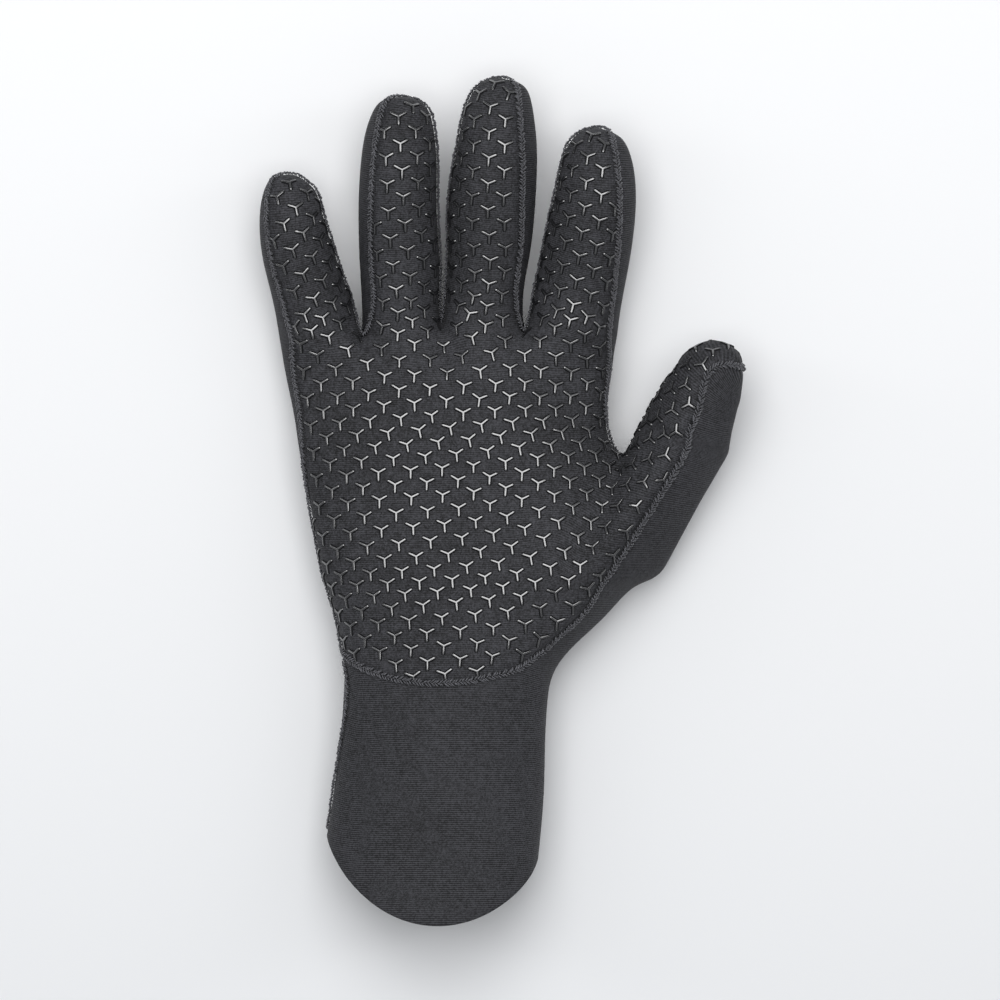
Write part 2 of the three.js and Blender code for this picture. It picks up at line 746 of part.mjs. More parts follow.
// One panel of sheet: the outer face, the inner face one wall deeper, and its cut edges
function panelGeometry(surface, panel) {
  const vertices = [];
  const numbers = new Map();
  surface.points.forEach((point, p) => {
    const groups = fans(surface, p);
    groups.filter((group) => group.panel === panel).forEach((group) => {
      const outer = point.clone();
      if (groups.length > 1) {
        outer.addScaledVector(inward(surface, p, group.faces), panelGap / 2);
      }
      const inner = outer.clone().addScaledVector(surface.normals[p], -wall);
      group.faces.forEach((f) => numbers.set(`${f}_${p}`, vertices.length));
      vertices.push(outer, inner);
    });
  });
  const faces = [];
  surface.mesh.quads.forEach((quad, f) => {
    if (quad.panel !== panel) {
      return;
    }
    const outer = quad.corners.map((corner) => numbers.get(`${f}_${corner}`));
    faces.push(outer);
    faces.push(outer.map((number) => number + 1).reverse());
    quad.corners.forEach((corner, k) => {
      const next = (k + 1) % 4;
      const key = edgeKey(corner, quad.corners[next]);
      if (surface.seams.has(key) || surface.links.edges.get(key).faces.length < 2) {
        const rim = [outer[next], outer[k], outer[k] + 1, outer[next] + 1];
        faces.push(corner < quad.corners[next] ? rim : [...rim.slice(1), rim[0]]);
      }
    });
  });
  return solidGeometry(vertices, faces);
}

// Points of the seam round the palm panel, in order
function panelLoop(surface) {
  const { mesh, links, seams } = surface;
  const next = new Map();
  mesh.quads.forEach((quad) => {
    if (quad.panel === 'palm') {
      quad.corners.forEach((corner, k) => {
        const end = quad.corners[(k + 1) % 4];
        const edge = links.edges.get(edgeKey(corner, end));
        const panels = edge.faces.map((f) => mesh.quads[f].panel);
        if (seams.has(edgeKey(corner, end)) && panels.some((name) => name !== 'palm')) {
          next.set(corner, end);
        }
      });
    }
  });
  const start = next.keys().next().value;
  const loop = [start];
  for (let p = next.get(start); p !== start; p = next.get(p)) {
    loop.push(p);
  }
  return loop;
}

// A flat band over a seam. Each place has a point, its normal and the way across. The
// band narrows where the surface turns sharply under it, and bridges the forks.
function bandGeometry(places, closed) {
  const turnAt = (i) => {
    const before = places[(i + places.length - 1) % places.length].normal;
    const after = places[(i + 1) % places.length].normal;
    return closed ? before.dot(after) : 1;
  };
  const vertices = places.flatMap(({ point, normal, across }, i) => {
    const half = (Math.max(turnAt(i), forkSeamShare) * seamWidth) / 2;
    const low = seamClearance * (1 + forkSeamLift * Math.max(-turnAt(i), 0));
    const high = low + seamThickness;
    return [
      point.clone().addScaledVector(normal, low).addScaledVector(across, -half),
      point.clone().addScaledVector(normal, low).addScaledVector(across, half),
      point.clone().addScaledVector(normal, high).addScaledVector(across, half),
      point.clone().addScaledVector(normal, high).addScaledVector(across, -half),
    ];
  });
  const faces = [];
  const count = places.length;
  const spans = closed ? count : count - 1;
  for (let i = 0; i < spans; i += 1) {
    const here = 4 * i;
    const there = 4 * ((i + 1) % count);
    for (let k = 0; k < 4; k += 1) {
      const next = (k + 1) % 4;
      faces.push([here + k, here + next, there + next, there + k]);
    }
  }
  if (!closed) {
    const last = 4 * (count - 1);
    faces.push([3, 2, 1, 0]);
    faces.push([last, last + 1, last + 2, last + 3]);
  }
  return solidGeometry(vertices, faces);
}

function seamPlace(surface, p, panel) {
  const group = fans(surface, p).find((fan) => fan.panel === panel);
  return {
    point: surface.points[p],
    normal: surface.normals[p],
    across: inward(surface, p, group.faces),
  };
}

function panelSeamGeometry(surface) {
  const places = panelLoop(surface).map((p) => seamPlace(surface, p, 'palm'));
  return bandGeometry(places, true);
}

// The band down the cuff starts clear of the palm panel's band and stops at the hem
function cuffSeamGeometry(surface) {
  const chain = [surface.mesh.seamEdges[0][0], ...surface.mesh.seamEdges.map((edge) => edge[1])];
  const places = chain.map((p, i) => {
    const point = surface.points[p];
    const normal = surface.normals[p];
    const before = surface.points[chain[Math.max(i - 1, 0)]];
    const after = surface.points[chain[Math.min(i + 1, chain.length - 1)]];
    const along = after.clone().sub(before).normalize();
    const across = new THREE.Vector3().crossVectors(normal, along).normalize();
    return { point: point.clone(), normal, across };
  });
  const shift = (from, to, distance) => {
    const step = places[to].point.clone().sub(places[from].point);
    places[from].point.addScaledVector(step.normalize(), distance);
  };
  shift(0, 1, 1.5 * seamWidth);
  shift(places.length - 1, places.length - 2, seamThickness);
  return bandGeometry(places, false);
}

// Materials
const printedNeoprene = new THREE.MeshStandardMaterial({ color: 0x3b3b40, roughness: 0.8 });
const plainNeoprene = new THREE.MeshStandardMaterial({ color: 0x2c2c31, roughness: 0.85 });
const seamThread = new THREE.MeshStandardMaterial({ color: 0x5f5f68, roughness: 0.6 });

function namedMesh(name, geometry, material) {
  const mesh = new THREE.Mesh(geometry, material);
  mesh.name = name;
  return mesh;
}

const surface = outerSurface();
const glove = new THREE.Group();
glove.add(namedMesh('palm_panel', panelGeometry(surface, 'palm'), printedNeoprene));
glove.add(namedMesh('back_panel', panelGeometry(surface, 'back'), plainNeoprene));
glove.add(namedMesh('finger_backs', panelGeometry(surface, 'fingers'), plainNeoprene));
glove.add(namedMesh('panel_seam', panelSeamGeometry(surface), seamThread));
glove.add(namedMesh('cuff_seam', cuffSeamGeometry(surface), seamThread));

export default glove;
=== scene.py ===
# A right-hand neoprene diving glove lying on its back, palm up.
# The tables are in millimetres and degrees, and the meshes are made in metres.
# +Z rises out of the palm, +Y runs to the finger tips and +X to the thumb.

import math

import bpy
import numpy as np
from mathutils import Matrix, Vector
from mathutils.bvhtree import BVHTree
from mathutils.kdtree import KDTree


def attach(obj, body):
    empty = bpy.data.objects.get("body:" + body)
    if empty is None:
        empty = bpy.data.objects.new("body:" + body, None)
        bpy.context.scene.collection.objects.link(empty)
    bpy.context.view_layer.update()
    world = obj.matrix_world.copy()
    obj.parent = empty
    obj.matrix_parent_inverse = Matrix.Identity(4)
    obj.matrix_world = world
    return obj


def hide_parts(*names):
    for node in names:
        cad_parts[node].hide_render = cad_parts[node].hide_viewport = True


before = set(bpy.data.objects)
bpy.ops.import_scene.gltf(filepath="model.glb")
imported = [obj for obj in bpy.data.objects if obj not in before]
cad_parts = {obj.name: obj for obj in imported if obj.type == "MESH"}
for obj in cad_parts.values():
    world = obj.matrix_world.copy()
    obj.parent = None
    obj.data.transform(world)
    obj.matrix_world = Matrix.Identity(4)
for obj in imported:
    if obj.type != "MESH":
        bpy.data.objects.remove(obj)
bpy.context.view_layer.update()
rng = np.random.default_rng(11)

MM = 0.001

# Sheet and named sizes, the same as in the part's source
WALL = 3.0
REST_PRESS = 1.4
FORK_REACH = 56.0
PALM_LENGTH = 106.0
PALM_WIDTH = 109.0
PALM_DEPTH = 40.0
CUFF_LENGTH = 65.0
CUFF_WIDTH = 68.0
CUFF_DEPTH = 46.0
HEM_DROP = 25.0
HEM_TILT = 3.8
FINGER_ROOT_HEIGHT = 16.0
THUMB_ROOT_HEIGHT = 20.0
THUMB_ACROSS = 0.598
THUMB_DOWN = 0.547
FORK_FRONT = 0.36
FORK_BACK = 0.38
RING_DEPTH = 26.0
BOW_POWER = 0.7
BOW_SKEW = 0.08
PALM_SQUARENESS = 2.25
ARC_SAMPLES = 90
FIT_PASSES = 14
FRONT_COLUMNS = 9
WINDOW_TOP = 3
WINDOW_BOTTOM = 5
WRIST_ROW = 8
FINENESS = 3


def table(names, *lines):
    keys = names.split()
    return [dict(zip(keys, line)) for line in lines]


# Sections of the palm from the finger forks to the wrist
PALM_ROWS = table(
    "at left right deep ulnar radial edge front back",
    (0.124, -0.512, 0.503, 0.83, 23, 17, 0.1, 0, 0),
    (0.256, -0.483, 0.481, 0.88, 20, 12, 0.1, 0, 0),
    (0.39, -0.46, 0.525, 0.93, 14, -8, 0.1, 0, 0),
    (0.547, -0.428, 0.6, 0.97, 5, 25, 0.16, 0, 0),
    (0.717, -0.396, 0.679, 1.02, 0, 50, 0.2, 0.03, 0),
    (0.8, -0.375, 0.573, 1.05, 0, 45, 0.19, 0.12, 0),
    (0.9, -0.346, 0.467, 1.06, 0, 39, 0.16, 0.24, 0),
    (1, -0.329, 0.36, 1.06, 4, 40, 0.13, 0.42, 0),
)

# Sections of the cuff from the wrist to the hem
CUFF_ROWS = table(
    "at side wide deep ulnar radial edge front back tilt",
    (0.185, -0.015, 1.005, 0.95, 16, 20, 0.11, 0.5, 0.05, 0),
    (0.43, -0.033, 0.997, 0.97, 11, 5, 0.1, 0.64, 0.2, 0.2),
    (0.7, -0.052, 1.02, 1.01, 2, 0, 0.1, 0.82, 0.42, 0.6),
    (1, -0.085, 1.032, 1.04, -4, 0, 0.1, 1, 0.6, 1),
)

# Sections of the fingers from base to tip
TUBE = "at side wide deep lift"
LITTLE_ROWS = table(
    TUBE,
    (0, -0.01, 1.06, 1.1, 0),
    (0.13, -0.035, 1, 1.04, 0.06),
    (0.31, -0.07, 0.95, 1, 0.3),
    (0.52, -0.11, 0.92, 0.96, 0.68),
    (0.71, -0.115, 0.84, 0.9, 0.95),
    (0.87, -0.08, 0.72, 0.74, 1),
    (0.96, -0.05, 0.5, 0.5, 0.97),
    (1, 0, 0, 0, 0.94),
)
RING_ROWS = table(
    TUBE,
    (0, 0, 1, 1.12, 0),
    (0.12, -0.03, 0.97, 1.05, 0.05),
    (0.3, -0.04, 1.01, 1, 0.3),
    (0.52, -0.065, 0.99, 0.96, 0.7),
    (0.72, -0.05, 0.96, 0.92, 0.96),
    (0.87, -0.03, 0.84, 0.8, 1),
    (0.965, -0.01, 0.6, 0.56, 0.97),
    (1, 0, 0, 0, 0.94),
)
MIDDLE_ROWS = table(
    TUBE,
    (0, 0, 0.97, 1.1, 0),
    (0.12, -0.005, 0.92, 1.04, 0.05),
    (0.3, 0.01, 0.98, 1, 0.3),
    (0.5, 0.005, 1.03, 0.98, 0.7),
    (0.69, 0.02, 0.96, 0.93, 0.95),
    (0.85, 0.015, 0.83, 0.8, 1),
    (0.96, 0.03, 0.58, 0.56, 0.97),
    (1, 0.01, 0, 0, 0.94),
)
INDEX_ROWS = table(
    TUBE,
    (0, 0.05, 1.07, 1.1, 0),
    (0.12, 0.07, 1, 1.05, 0.05),
    (0.3, 0.075, 0.99, 1, 0.3),
    (0.5, 0.075, 0.97, 0.97, 0.68),
    (0.7, 0.055, 0.89, 0.91, 0.95),
    (0.87, 0, 0.74, 0.76, 1),
    (0.96, -0.02, 0.48, 0.5, 0.97),
    (1, -0.03, 0, 0, 0.94),
)

# Sections of the thumb with the turns of its seams
THUMB_ROWS = table(
    "at side wide deep lift outer inner edge",
    (0.31, 0.04, 1, 1.02, 0.3, 81, 232, -8),
    (0.47, 0.03, 0.97, 0.98, 0.5, 85, 245, 8),
    (0.6, 0.01, 0.9, 0.93, 0.7, 84, 255, 24),
    (0.7, 0.02, 0.84, 0.86, 0.85, 92, 262, 34),
    (0.81, 0.07, 0.8, 0.78, 0.95, 104, 266, 42),
    (0.875, 0.21, 0.56, 0.55, 1, 100, 268, 34),
    (0.9, 0.29, 0, 0, 1, 0, 0, 0),
)
THUMB = dict(length=61.5, width=30.0, depth=29.0, curl=8.0, lean=26.0, rows=THUMB_ROWS)

# Fingers in order from the little finger
FINGERS = table(
    "length width depth curl lean rows across rise ulnar_base ulnar_tip radial_base radial_tip",
    (53.0, 26.0, 25.0, 8.0, -10.0, LITTLE_ROWS, -0.396, 0, 133, 140, 0, 8),
    (77.8, 26.5, 26.0, 12.0, 0.3, RING_ROWS, -0.146, 0, 133, 130, 2, 6),
    (81.5, 28.0, 27.0, 12.0, 4.0, MIDDLE_ROWS, 0.102, 0.026, 180, 178, 36, 58),
    (67.0, 29.5, 27.5, 11.0, 10.0, INDEX_ROWS, 0.357, 0.014, 180, 176, 36, 62),
)

# How the flat sheet is cut over the fingers: slant and stretch per length, and offsets
CUTS = table(
    "aside slant ahead stretch",
    (0.7, 0.0, 0.0, 0.07),
    (2.9, 0.045, 0.6, 0.045),
    (1.3, 0.045, 1.2, 0.07),
    (0.8, 0.08, 0.6, 0.12),
)

# Forks between the fingers
FORKS = table("rise dip", (-0.056, 1.2), (0.01, 1.9), (-0.046, 1.2))

# Dents and swellings of the palm side
DENTS = table(
    "across down reach sink",
    (0.02, 0.5, 0.2, 0.8),
    (0.4, 0.72, 0.2, -0.7),
    (-0.3, 0.66, 0.2, -0.5),
    (-0.02, 0.06, 0.07, 0.7),
    (-0.02, 1.1, 0.16, 0.3),
)

# Grip marks: a slanted lattice on the flat sheet, and the three strokes of a mark
LATTICE_ORIGIN = (0.34, 24.1)
LATTICE_STEPS = ((5.72, -4.03), (4.76, 4.9))
STROKES = table("turn length", (155, 3.2), (31, 3.1), (-87, 3.25))
STROKE_WIDTH = 1.52
STROKE_HEIGHT = 0.46
LATTICE_REACH = 60
MARK_CLEARANCE = 1.7
SHEET_THUMB_LEAN = 76.0
RELAX_PASSES = 24
RELAX_FROM = (33.0, 26.0)
THUMB_STRETCH = 0.16
THUMB_STRETCH_FROM = 55.0
THUMB_SHEET_MIDDLE = 13.0
CUT_RAMP = 12.0

# How far the flat sheet runs ahead of the shape on the thumb side of the palm
BEND = table(
    "y ahead",
    (-50, 0),
    (-28, -1.2),
    (-16, -1.8),
    (-4, -3.0),
    (8, -3.0),
    (20, -0.4),
    (32, 2.2),
    (44, 3.4),
    (56, 5),
)
BEND_FROM = 12.0
BEND_TO = 42.0

# How far the flat sheet lies aside of the shape, from the middle to the thumb side
SWAY = table(
    "y aside",
    (-50, 0.8),
    (-39, 1.4),
    (-29, 1.3),
    (-20, 1),
    (-2, -0.8),
    (15, -1.3),
    (29, 1.1),
    (43, 0.8),
    (56, 0.3),
)
SWAY_FROM = -12.0
SWAY_TO = 12.0

# Pitch of the knit's ribs
RIB_PITCH = 0.66

# Stitches
STITCH_PITCH = 1.05
STITCH_REACH = 1.15
STITCH_RADIUS = 0.27
GROOVE_DEPTH = 0.5
GROOVE_REACH = 1.3


def mix(a, b, share):
    return a + (b - a) * share


def unit(v):
    v = np.asarray(v, float)
    return v / np.maximum(np.linalg.norm(v, axis=-1, keepdims=True), 1e-12)


# The cage of the outer surface


def oval_point(oval, turn):
    power = 2 / PALM_SQUARENESS
    c = math.cos(math.radians(turn))
    s = math.sin(math.radians(turn))
    x = oval["x"] + oval["half_width"] * math.copysign(abs(c) ** power, c)
    z = oval["z"] + oval["half_depth"] * math.copysign(abs(s) ** power, s)
    return x, z


def spread_along(oval, start, end, count, first_step):
    samples = [oval_point(oval, mix(start, end, i / ARC_SAMPLES)) for i in range(ARC_SAMPLES + 1)]
    samples = np.array(samples)
    steps = np.hypot(*np.diff(samples, axis=0).T)
    lengths = np.concatenate([[0], np.cumsum(steps)])
    points = []
    for k in range(count):
        share = 0 if k == 0 else mix(first_step, 1, (k - 1) / (count - 2))
        wanted = share * lengths[-1]
        x = np.interp(wanted, lengths, samples[:, 0])
        z = np.interp(wanted, lengths, samples[:, 1])
        points.append((x, z))
    return points


class Cage:
    def __init__(self):
        self.points = []
        self.quads = []
        self.panels = []
        self.zones = []
        self.loose = set()
        self.palm_sheet = {}
        self.course = {}
        self.cuff_line = []

    def add(self, point, loose=False):
        if loose:
            self.loose.add(len(self.points))
        self.points.append(np.asarray(point, float))
        return len(self.points) - 1

    def quad(self, corners, panel, zone):
        self.quads.append(corners)
        self.panels.append(panel)
        self.zones.append(zone)


cage = Cage()


def section_row(oval, y, spec, skip_radial):
    steps = FRONT_COLUMNS + 1
    ulnar = spec["ulnar"]
    radial = spec["radial"]
    front_points = spread_along(oval, 180 - ulnar, radial, steps + 1, 1 / steps)
    back_points = spread_along(oval, radial, -180 - ulnar, steps + 1, spec["edge"])
    middle = (front_points[0][0] + front_points[-1][0]) / 2
    half = (front_points[-1][0] - front_points[0][0]) / 2
    tilt = spec.get("tilt", 0) * HEM_TILT

    def place(point, drop):
        across = (point[0] - middle) / half
        bow = max(1 - across * across, 0) ** BOW_POWER * (1 - BOW_SKEW * across)
        return cage.add((point[0], y - tilt * across - drop * HEM_DROP * bow, point[1]))

    row = {"ulnar": place(front_points[0], spec["front"])}
    row["front"] = [place(point, spec["front"]) for point in front_points[1:-1]]
    row["radial"] = None if skip_radial else place(front_points[-1], spec["front"])
    row["back"] = [place(point, spec["back"]) for point in back_points[1:-1]][::-1]
    return row


def palm_section(spec, number):
    half_depth = spec["deep"] * PALM_DEPTH / 2
    oval = {
        "x": (spec["left"] + spec["right"]) / 2 * PALM_WIDTH,
        "z": half_depth - REST_PRESS,
        "half_width": (spec["right"] - spec["left"]) / 2 * PALM_WIDTH,
        "half_depth": half_depth,
    }
    skip = WINDOW_TOP < number < WINDOW_BOTTOM
    return section_row(oval, FORK_REACH - spec["at"] * PALM_LENGTH, spec, skip)


def cuff_section(spec):
    half_depth = spec["deep"] * CUFF_DEPTH / 2
    oval = {
        "x": spec["side"] * CUFF_WIDTH,
        "z": half_depth - REST_PRESS,
        "half_width": spec["wide"] * CUFF_WIDTH / 2,
        "half_depth": half_depth,
    }
    y = FORK_REACH - PALM_LENGTH - spec["at"] * CUFF_LENGTH
    return section_row(oval, y, spec, False)


def axis_of(root, tube):
    lean = math.radians(tube["lean"])
    forward = np.array([math.sin(lean), math.cos(lean), 0])
    across = np.array([forward[1], -forward[0], 0])
    middles = []
    for row in tube["rows"]:
        middle = root + forward * row["at"] * tube["length"]
        middle = middle + across * row["side"] * tube["width"]
        middle[2] += row["lift"] * tube["curl"]
        middles.append(middle)
    return across, middles


def ring_points(axis, i, half_width, half_depth, radial_turn, ulnar_turn, edge_turn):
    across, middles = axis
    ahead = middles[min(i + 1, len(middles) - 1)]
    behind = middles[max(i - 1, 0)]
    along = unit(ahead - behind)
    up = unit(np.cross(across, along))
    side = unit(np.cross(along, up))
    ring = []
    for k in range(8):
        if k < 4:
            turn = mix(radial_turn, ulnar_turn, k / 4)
        else:
            turn = mix(ulnar_turn, edge_turn + 360, (k - 4) / 3)
        turn = math.radians(turn)
        point = middles[i] + side * half_width * math.cos(turn) + up * half_depth * math.sin(turn)
        ring.append(point)
    return ring


# Skins a tube, and gives its palm side places on the flat sheet. place_on_sheet takes the
# distance along the tube and the distance round it from the middle of the palm side.
def skin_tube(base_ring, rings, tip, zone, start, place_on_sheet, course_start):
    lower = base_ring
    along = start
    course = course_start
    last_middle = None
    for ring in rings:
        upper = [cage.add(point) for point in ring]
        if last_middle is not None:
            along += np.linalg.norm(ring[2] - last_middle[0])
            course += np.linalg.norm(np.mean(ring, axis=0) - last_middle[1])
        last_middle = (ring[2], np.mean(ring, axis=0))
        arcs = [0.0]
        for k in range(4):
            arcs.append(arcs[-1] + np.linalg.norm(ring[k + 1] - ring[k]))
        for k in range(5):
            cage.palm_sheet[upper[k]] = place_on_sheet(along, arcs[2] - arcs[k], arcs[k])
        for k in range(8):
            cage.course[upper[k]] = course
            corners = (lower[k], upper[k], upper[(k + 1) % 8], lower[(k + 1) % 8])
            cage.quad(corners, "palm" if k < 4 else "back", zone)
        lower = upper
    centre = cage.add(tip)
    along += np.linalg.norm(tip - last_middle[0])
    cage.palm_sheet[centre] = place_on_sheet(along, 0.0, arcs[2])
    cage.course[centre] = course + 2
    cage.quad((lower[0], centre, lower[2], lower[1]), "palm", zone)
    cage.quad((lower[2], centre, lower[4], lower[3]), "palm", zone)
    cage.quad((lower[4], centre, lower[6], lower[5]), "back", zone)
    cage.quad((lower[6], centre, lower[0], lower[7]), "back", zone)


def finger_tube(finger):
    x = finger["across"] * PALM_WIDTH
    y = FORK_REACH + finger["rise"] * PALM_LENGTH
    root = np.array([x, y, FINGER_ROOT_HEIGHT])
    axis = axis_of(root, finger)
    rings = []
    for i, row in enumerate(finger["rows"][:-1]):
        radial_turn = mix(finger["radial_base"], finger["radial_tip"], row["at"])
        ulnar_turn = mix(finger["ulnar_base"], finger["ulnar_tip"], row["at"])
        edge_turn = mix(ulnar_turn, radial_turn + 360, 3 / 4) - 360
        half_width = row["wide"] * finger["width"] / 2
        half_depth = row["deep"] * finger["depth"] / 2
        turns = (radial_turn, ulnar_turn, edge_turn)
        rings.append(ring_points(axis, i, half_width, half_depth, *turns))
    return {"rings": rings, "tip": axis[1][-1], "root": root}


def fork_row(tubes):
    row = {"front": [], "back": [], "forks": []}
    for i, tube in enumerate(tubes):
        base = tube["rings"][0]
        if i == 0:
            row["ulnar"] = cage.add(base[4])
            row["front"].append(cage.add(base[3]))
            row["back"].append(cage.add(base[5]))
        row["front"].append(cage.add(base[2]))
        row["back"].append(cage.add(base[6]))
        if i < len(tubes) - 1:
            fork = FORKS[i]
            x = (tube["root"][0] + tubes[i + 1]["root"][0]) / 2
            y = FORK_REACH + fork["rise"] * PALM_LENGTH
            dip = fork["dip"] * WALL
            front_z = FINGER_ROOT_HEIGHT + FORK_FRONT * RING_DEPTH
            back_z = FINGER_ROOT_HEIGHT - FORK_BACK * RING_DEPTH
            middle_z = (base[0][2] + tubes[i + 1]["rings"][0][4][2]) / 2
            row["front"].append(cage.add((x, y - dip, front_z), True))
            row["forks"].append(cage.add((x, y, middle_z), True))
            row["back"].append(cage.add((x, y - dip, back_z), True))
        else:
            row["front"].append(cage.add(base[1]))
            row["back"].append(cage.add(base[7]))
            row["radial"] = cage.add(base[0])
    return row


def round_row(row):
    return [row["ulnar"], *row["front"], row["radial"], *row["back"][::-1]]


# Distance along the sheet between two cage points
def apart(a, b):
    return float(np.linalg.norm(cage.points[a] - cage.points[b]))


def ahead_at(x, y):
    share = np.clip((x - BEND_FROM) / (BEND_TO - BEND_FROM), 0, 1.2)
    ys = [line["y"] for line in BEND]
    return share * np.interp(y, ys, [line["ahead"] for line in BEND])


def aside_at(x, y):
    share = np.clip((x - SWAY_FROM) / (SWAY_TO - SWAY_FROM), 0, 1)
    ys = [line["y"] for line in SWAY]
    return share * np.interp(y, ys, [line["aside"] for line in SWAY])


def lay_row_on_sheet(row, first):
    front = row["front"]
    xs = {4: cage.points[front[4]][0]}
    for k in range(5, FRONT_COLUMNS):
        step = cage.points[front[k]][0] - cage.points[front[k - 1]][0]
        xs[k] = xs[k - 1] + (step if first and k < 8 else apart(front[k], front[k - 1]))
    for k in range(3, -1, -1):
        step = cage.points[front[k + 1]][0] - cage.points[front[k]][0]
        xs[k] = xs[k + 1] - (step if first and k > 0 else apart(front[k], front[k + 1]))
    for k, p in enumerate(front):
        y = cage.points[p][1]
        cage.palm_sheet[p] = (xs[k] - aside_at(xs[k], y), y + ahead_at(xs[k], y))
    u = row["ulnar"]
    cage.palm_sheet[u] = (xs[0] - apart(u, front[0]), cage.points[u][1])
    r = row["radial"]
    if r is not None:
        x, y = cage.palm_sheet[front[8]]
        cage.palm_sheet[r] = (x + apart(r, front[8]), y)
    for p in round_row(row):
        if p is not None:
            cage.course[p] = cage.points[p][1]


def build_cage():
    tubes = [finger_tube(finger) for finger in FINGERS]
    rows = [fork_row(tubes)]
    rows += [palm_section(spec, i + 1) for i, spec in enumerate(PALM_ROWS)]
    rows += [cuff_section(spec) for spec in CUFF_ROWS]
    for j, row in enumerate(rows):
        lay_row_on_sheet(row, j == 0)
    for j, (upper_row, lower_row) in enumerate(zip(rows, rows[1:])):
        upper = round_row(upper_row)
        lower = round_row(lower_row)
        for k in range(len(upper)):
            n = (k + 1) % len(upper)
            corners = (lower[k], lower[n], upper[n], upper[k])
            if None not in corners:
                in_front = k <= FRONT_COLUMNS and j < WRIST_ROW
                cage.quad(corners, "palm" if in_front else "back", 0)
    top = rows[0]
    for i, fork in enumerate(top["forks"]):
        front = top["front"][2 * i + 2]
        x, y = cage.palm_sheet[front]
        cage.palm_sheet[fork] = (x, y + apart(fork, front))
        cage.course[fork] = cage.points[fork][1]
    for i, tube in enumerate(tubes):
        f = 2 * i
        ulnar = top["ulnar"] if i == 0 else top["forks"][i - 1]
        radial = top["radial"] if i == len(tubes) - 1 else top["forks"][i]
        front = top["front"]
        back = top["back"]
        base = [radial, front[f + 2], front[f + 1], front[f], ulnar]
        base += [back[f], back[f + 1], back[f + 2]]
        x, y = cage.palm_sheet[front[f + 1]]
        first = tube["rings"][1]
        step = np.linalg.norm(first[2] - cage.points[front[f + 1]])

        def on_sheet(along, across, arc, x=x, y=y, cut=CUTS[i]):
            gone = along - y
            share = min(gone / CUT_RAMP, 1)
            aside = cut["aside"] * share + cut["slant"] * gone
            return (x + across - aside, along + cut["ahead"] * share + cut["stretch"] * gone)

        skin_tube(base, tube["rings"][1:], tube["tip"], i + 1, y + step, on_sheet, y + step)
    skin_thumb(rows)
    cage.cuff_line = [row["ulnar"] for row in rows[WRIST_ROW:]]


def skin_thumb(rows):
    last = FRONT_COLUMNS - 1
    above, level, below = rows[WINDOW_TOP], rows[WINDOW_TOP + 1], rows[WINDOW_BOTTOM]
    base = [below["radial"], below["front"][last], level["front"][last], above["front"][last]]
    base += [above["radial"], above["back"][last], level["back"][last], below["back"][last]]
    x = THUMB_ACROSS * PALM_WIDTH
    y = FORK_REACH - THUMB_DOWN * PALM_LENGTH
    root = np.array([x, y, THUMB_ROOT_HEIGHT])
    axis = axis_of(root, THUMB)
    rings = []
    for i, row in enumerate(THUMB_ROWS[:-1]):
        half_width = row["wide"] * THUMB["width"] / 2
        half_depth = row["deep"] * THUMB["depth"] / 2
        turns = (row["outer"], row["inner"], row["edge"])
        rings.append(ring_points(axis, i, half_width, half_depth, *turns))
    lean = math.radians(SHEET_THUMB_LEAN)
    outward = np.array([math.sin(lean), math.cos(lean)])
    upward = np.array([-math.cos(lean), math.sin(lean)])
    corner = np.array(cage.palm_sheet[level["front"][last]])
    step = np.linalg.norm(rings[0][1] - cage.points[level["front"][last]])

    def on_sheet(along, across, arc):
        place = corner + outward * along + upward * (arc - THUMB_SHEET_MIDDLE)
        return tuple(place)

    skin_tube(base, rings, axis[1][-1], 0, step, on_sheet, y + step)


# Smooth surfaces from a cage of quads


class Links:
    def __init__(self, quads, count):
        a = quads
        b = np.roll(quads, -1, axis=1)
        keys = np.minimum(a, b).astype(np.int64) * count + np.maximum(a, b)
        found, index = np.unique(keys.ravel(), return_inverse=True)
        self.index = index.reshape(quads.shape)
        self.ends = np.stack([found // count, found % count], axis=1)
        self.uses = np.bincount(self.index.ravel(), minlength=len(found))
        self.rim = self.uses == 1
        self.valence = np.bincount(self.ends.ravel(), minlength=count)
        self.on_rim = np.zeros(count, bool)
        self.on_rim[self.ends[self.rim].ravel()] = True


def gather(index, values, count):
    total = np.zeros((count, values.shape[1]))
    np.add.at(total, index, values)
    return total


def neighbours(points, ends, count):
    total = gather(ends[:, 0], points[ends[:, 1]], count)
    return total + gather(ends[:, 1], points[ends[:, 0]], count)


def limit_of(points, quads, links):
    count = len(points)
    n = links.valence[:, None].astype(float)
    n = np.maximum(n, 1)
    around = neighbours(points, links.ends, count)
    opposite = gather(quads.ravel(), points[np.roll(quads, 2, axis=1)].reshape(-1, points.shape[1]), count)
    inside = (n * n * points + 4 * around + opposite) / (n * (n + 5))
    edge = neighbours(points, links.ends[links.rim], count)
    rim = points * 4 / 6 + edge / 6
    return np.where(links.on_rim[:, None], rim, inside)


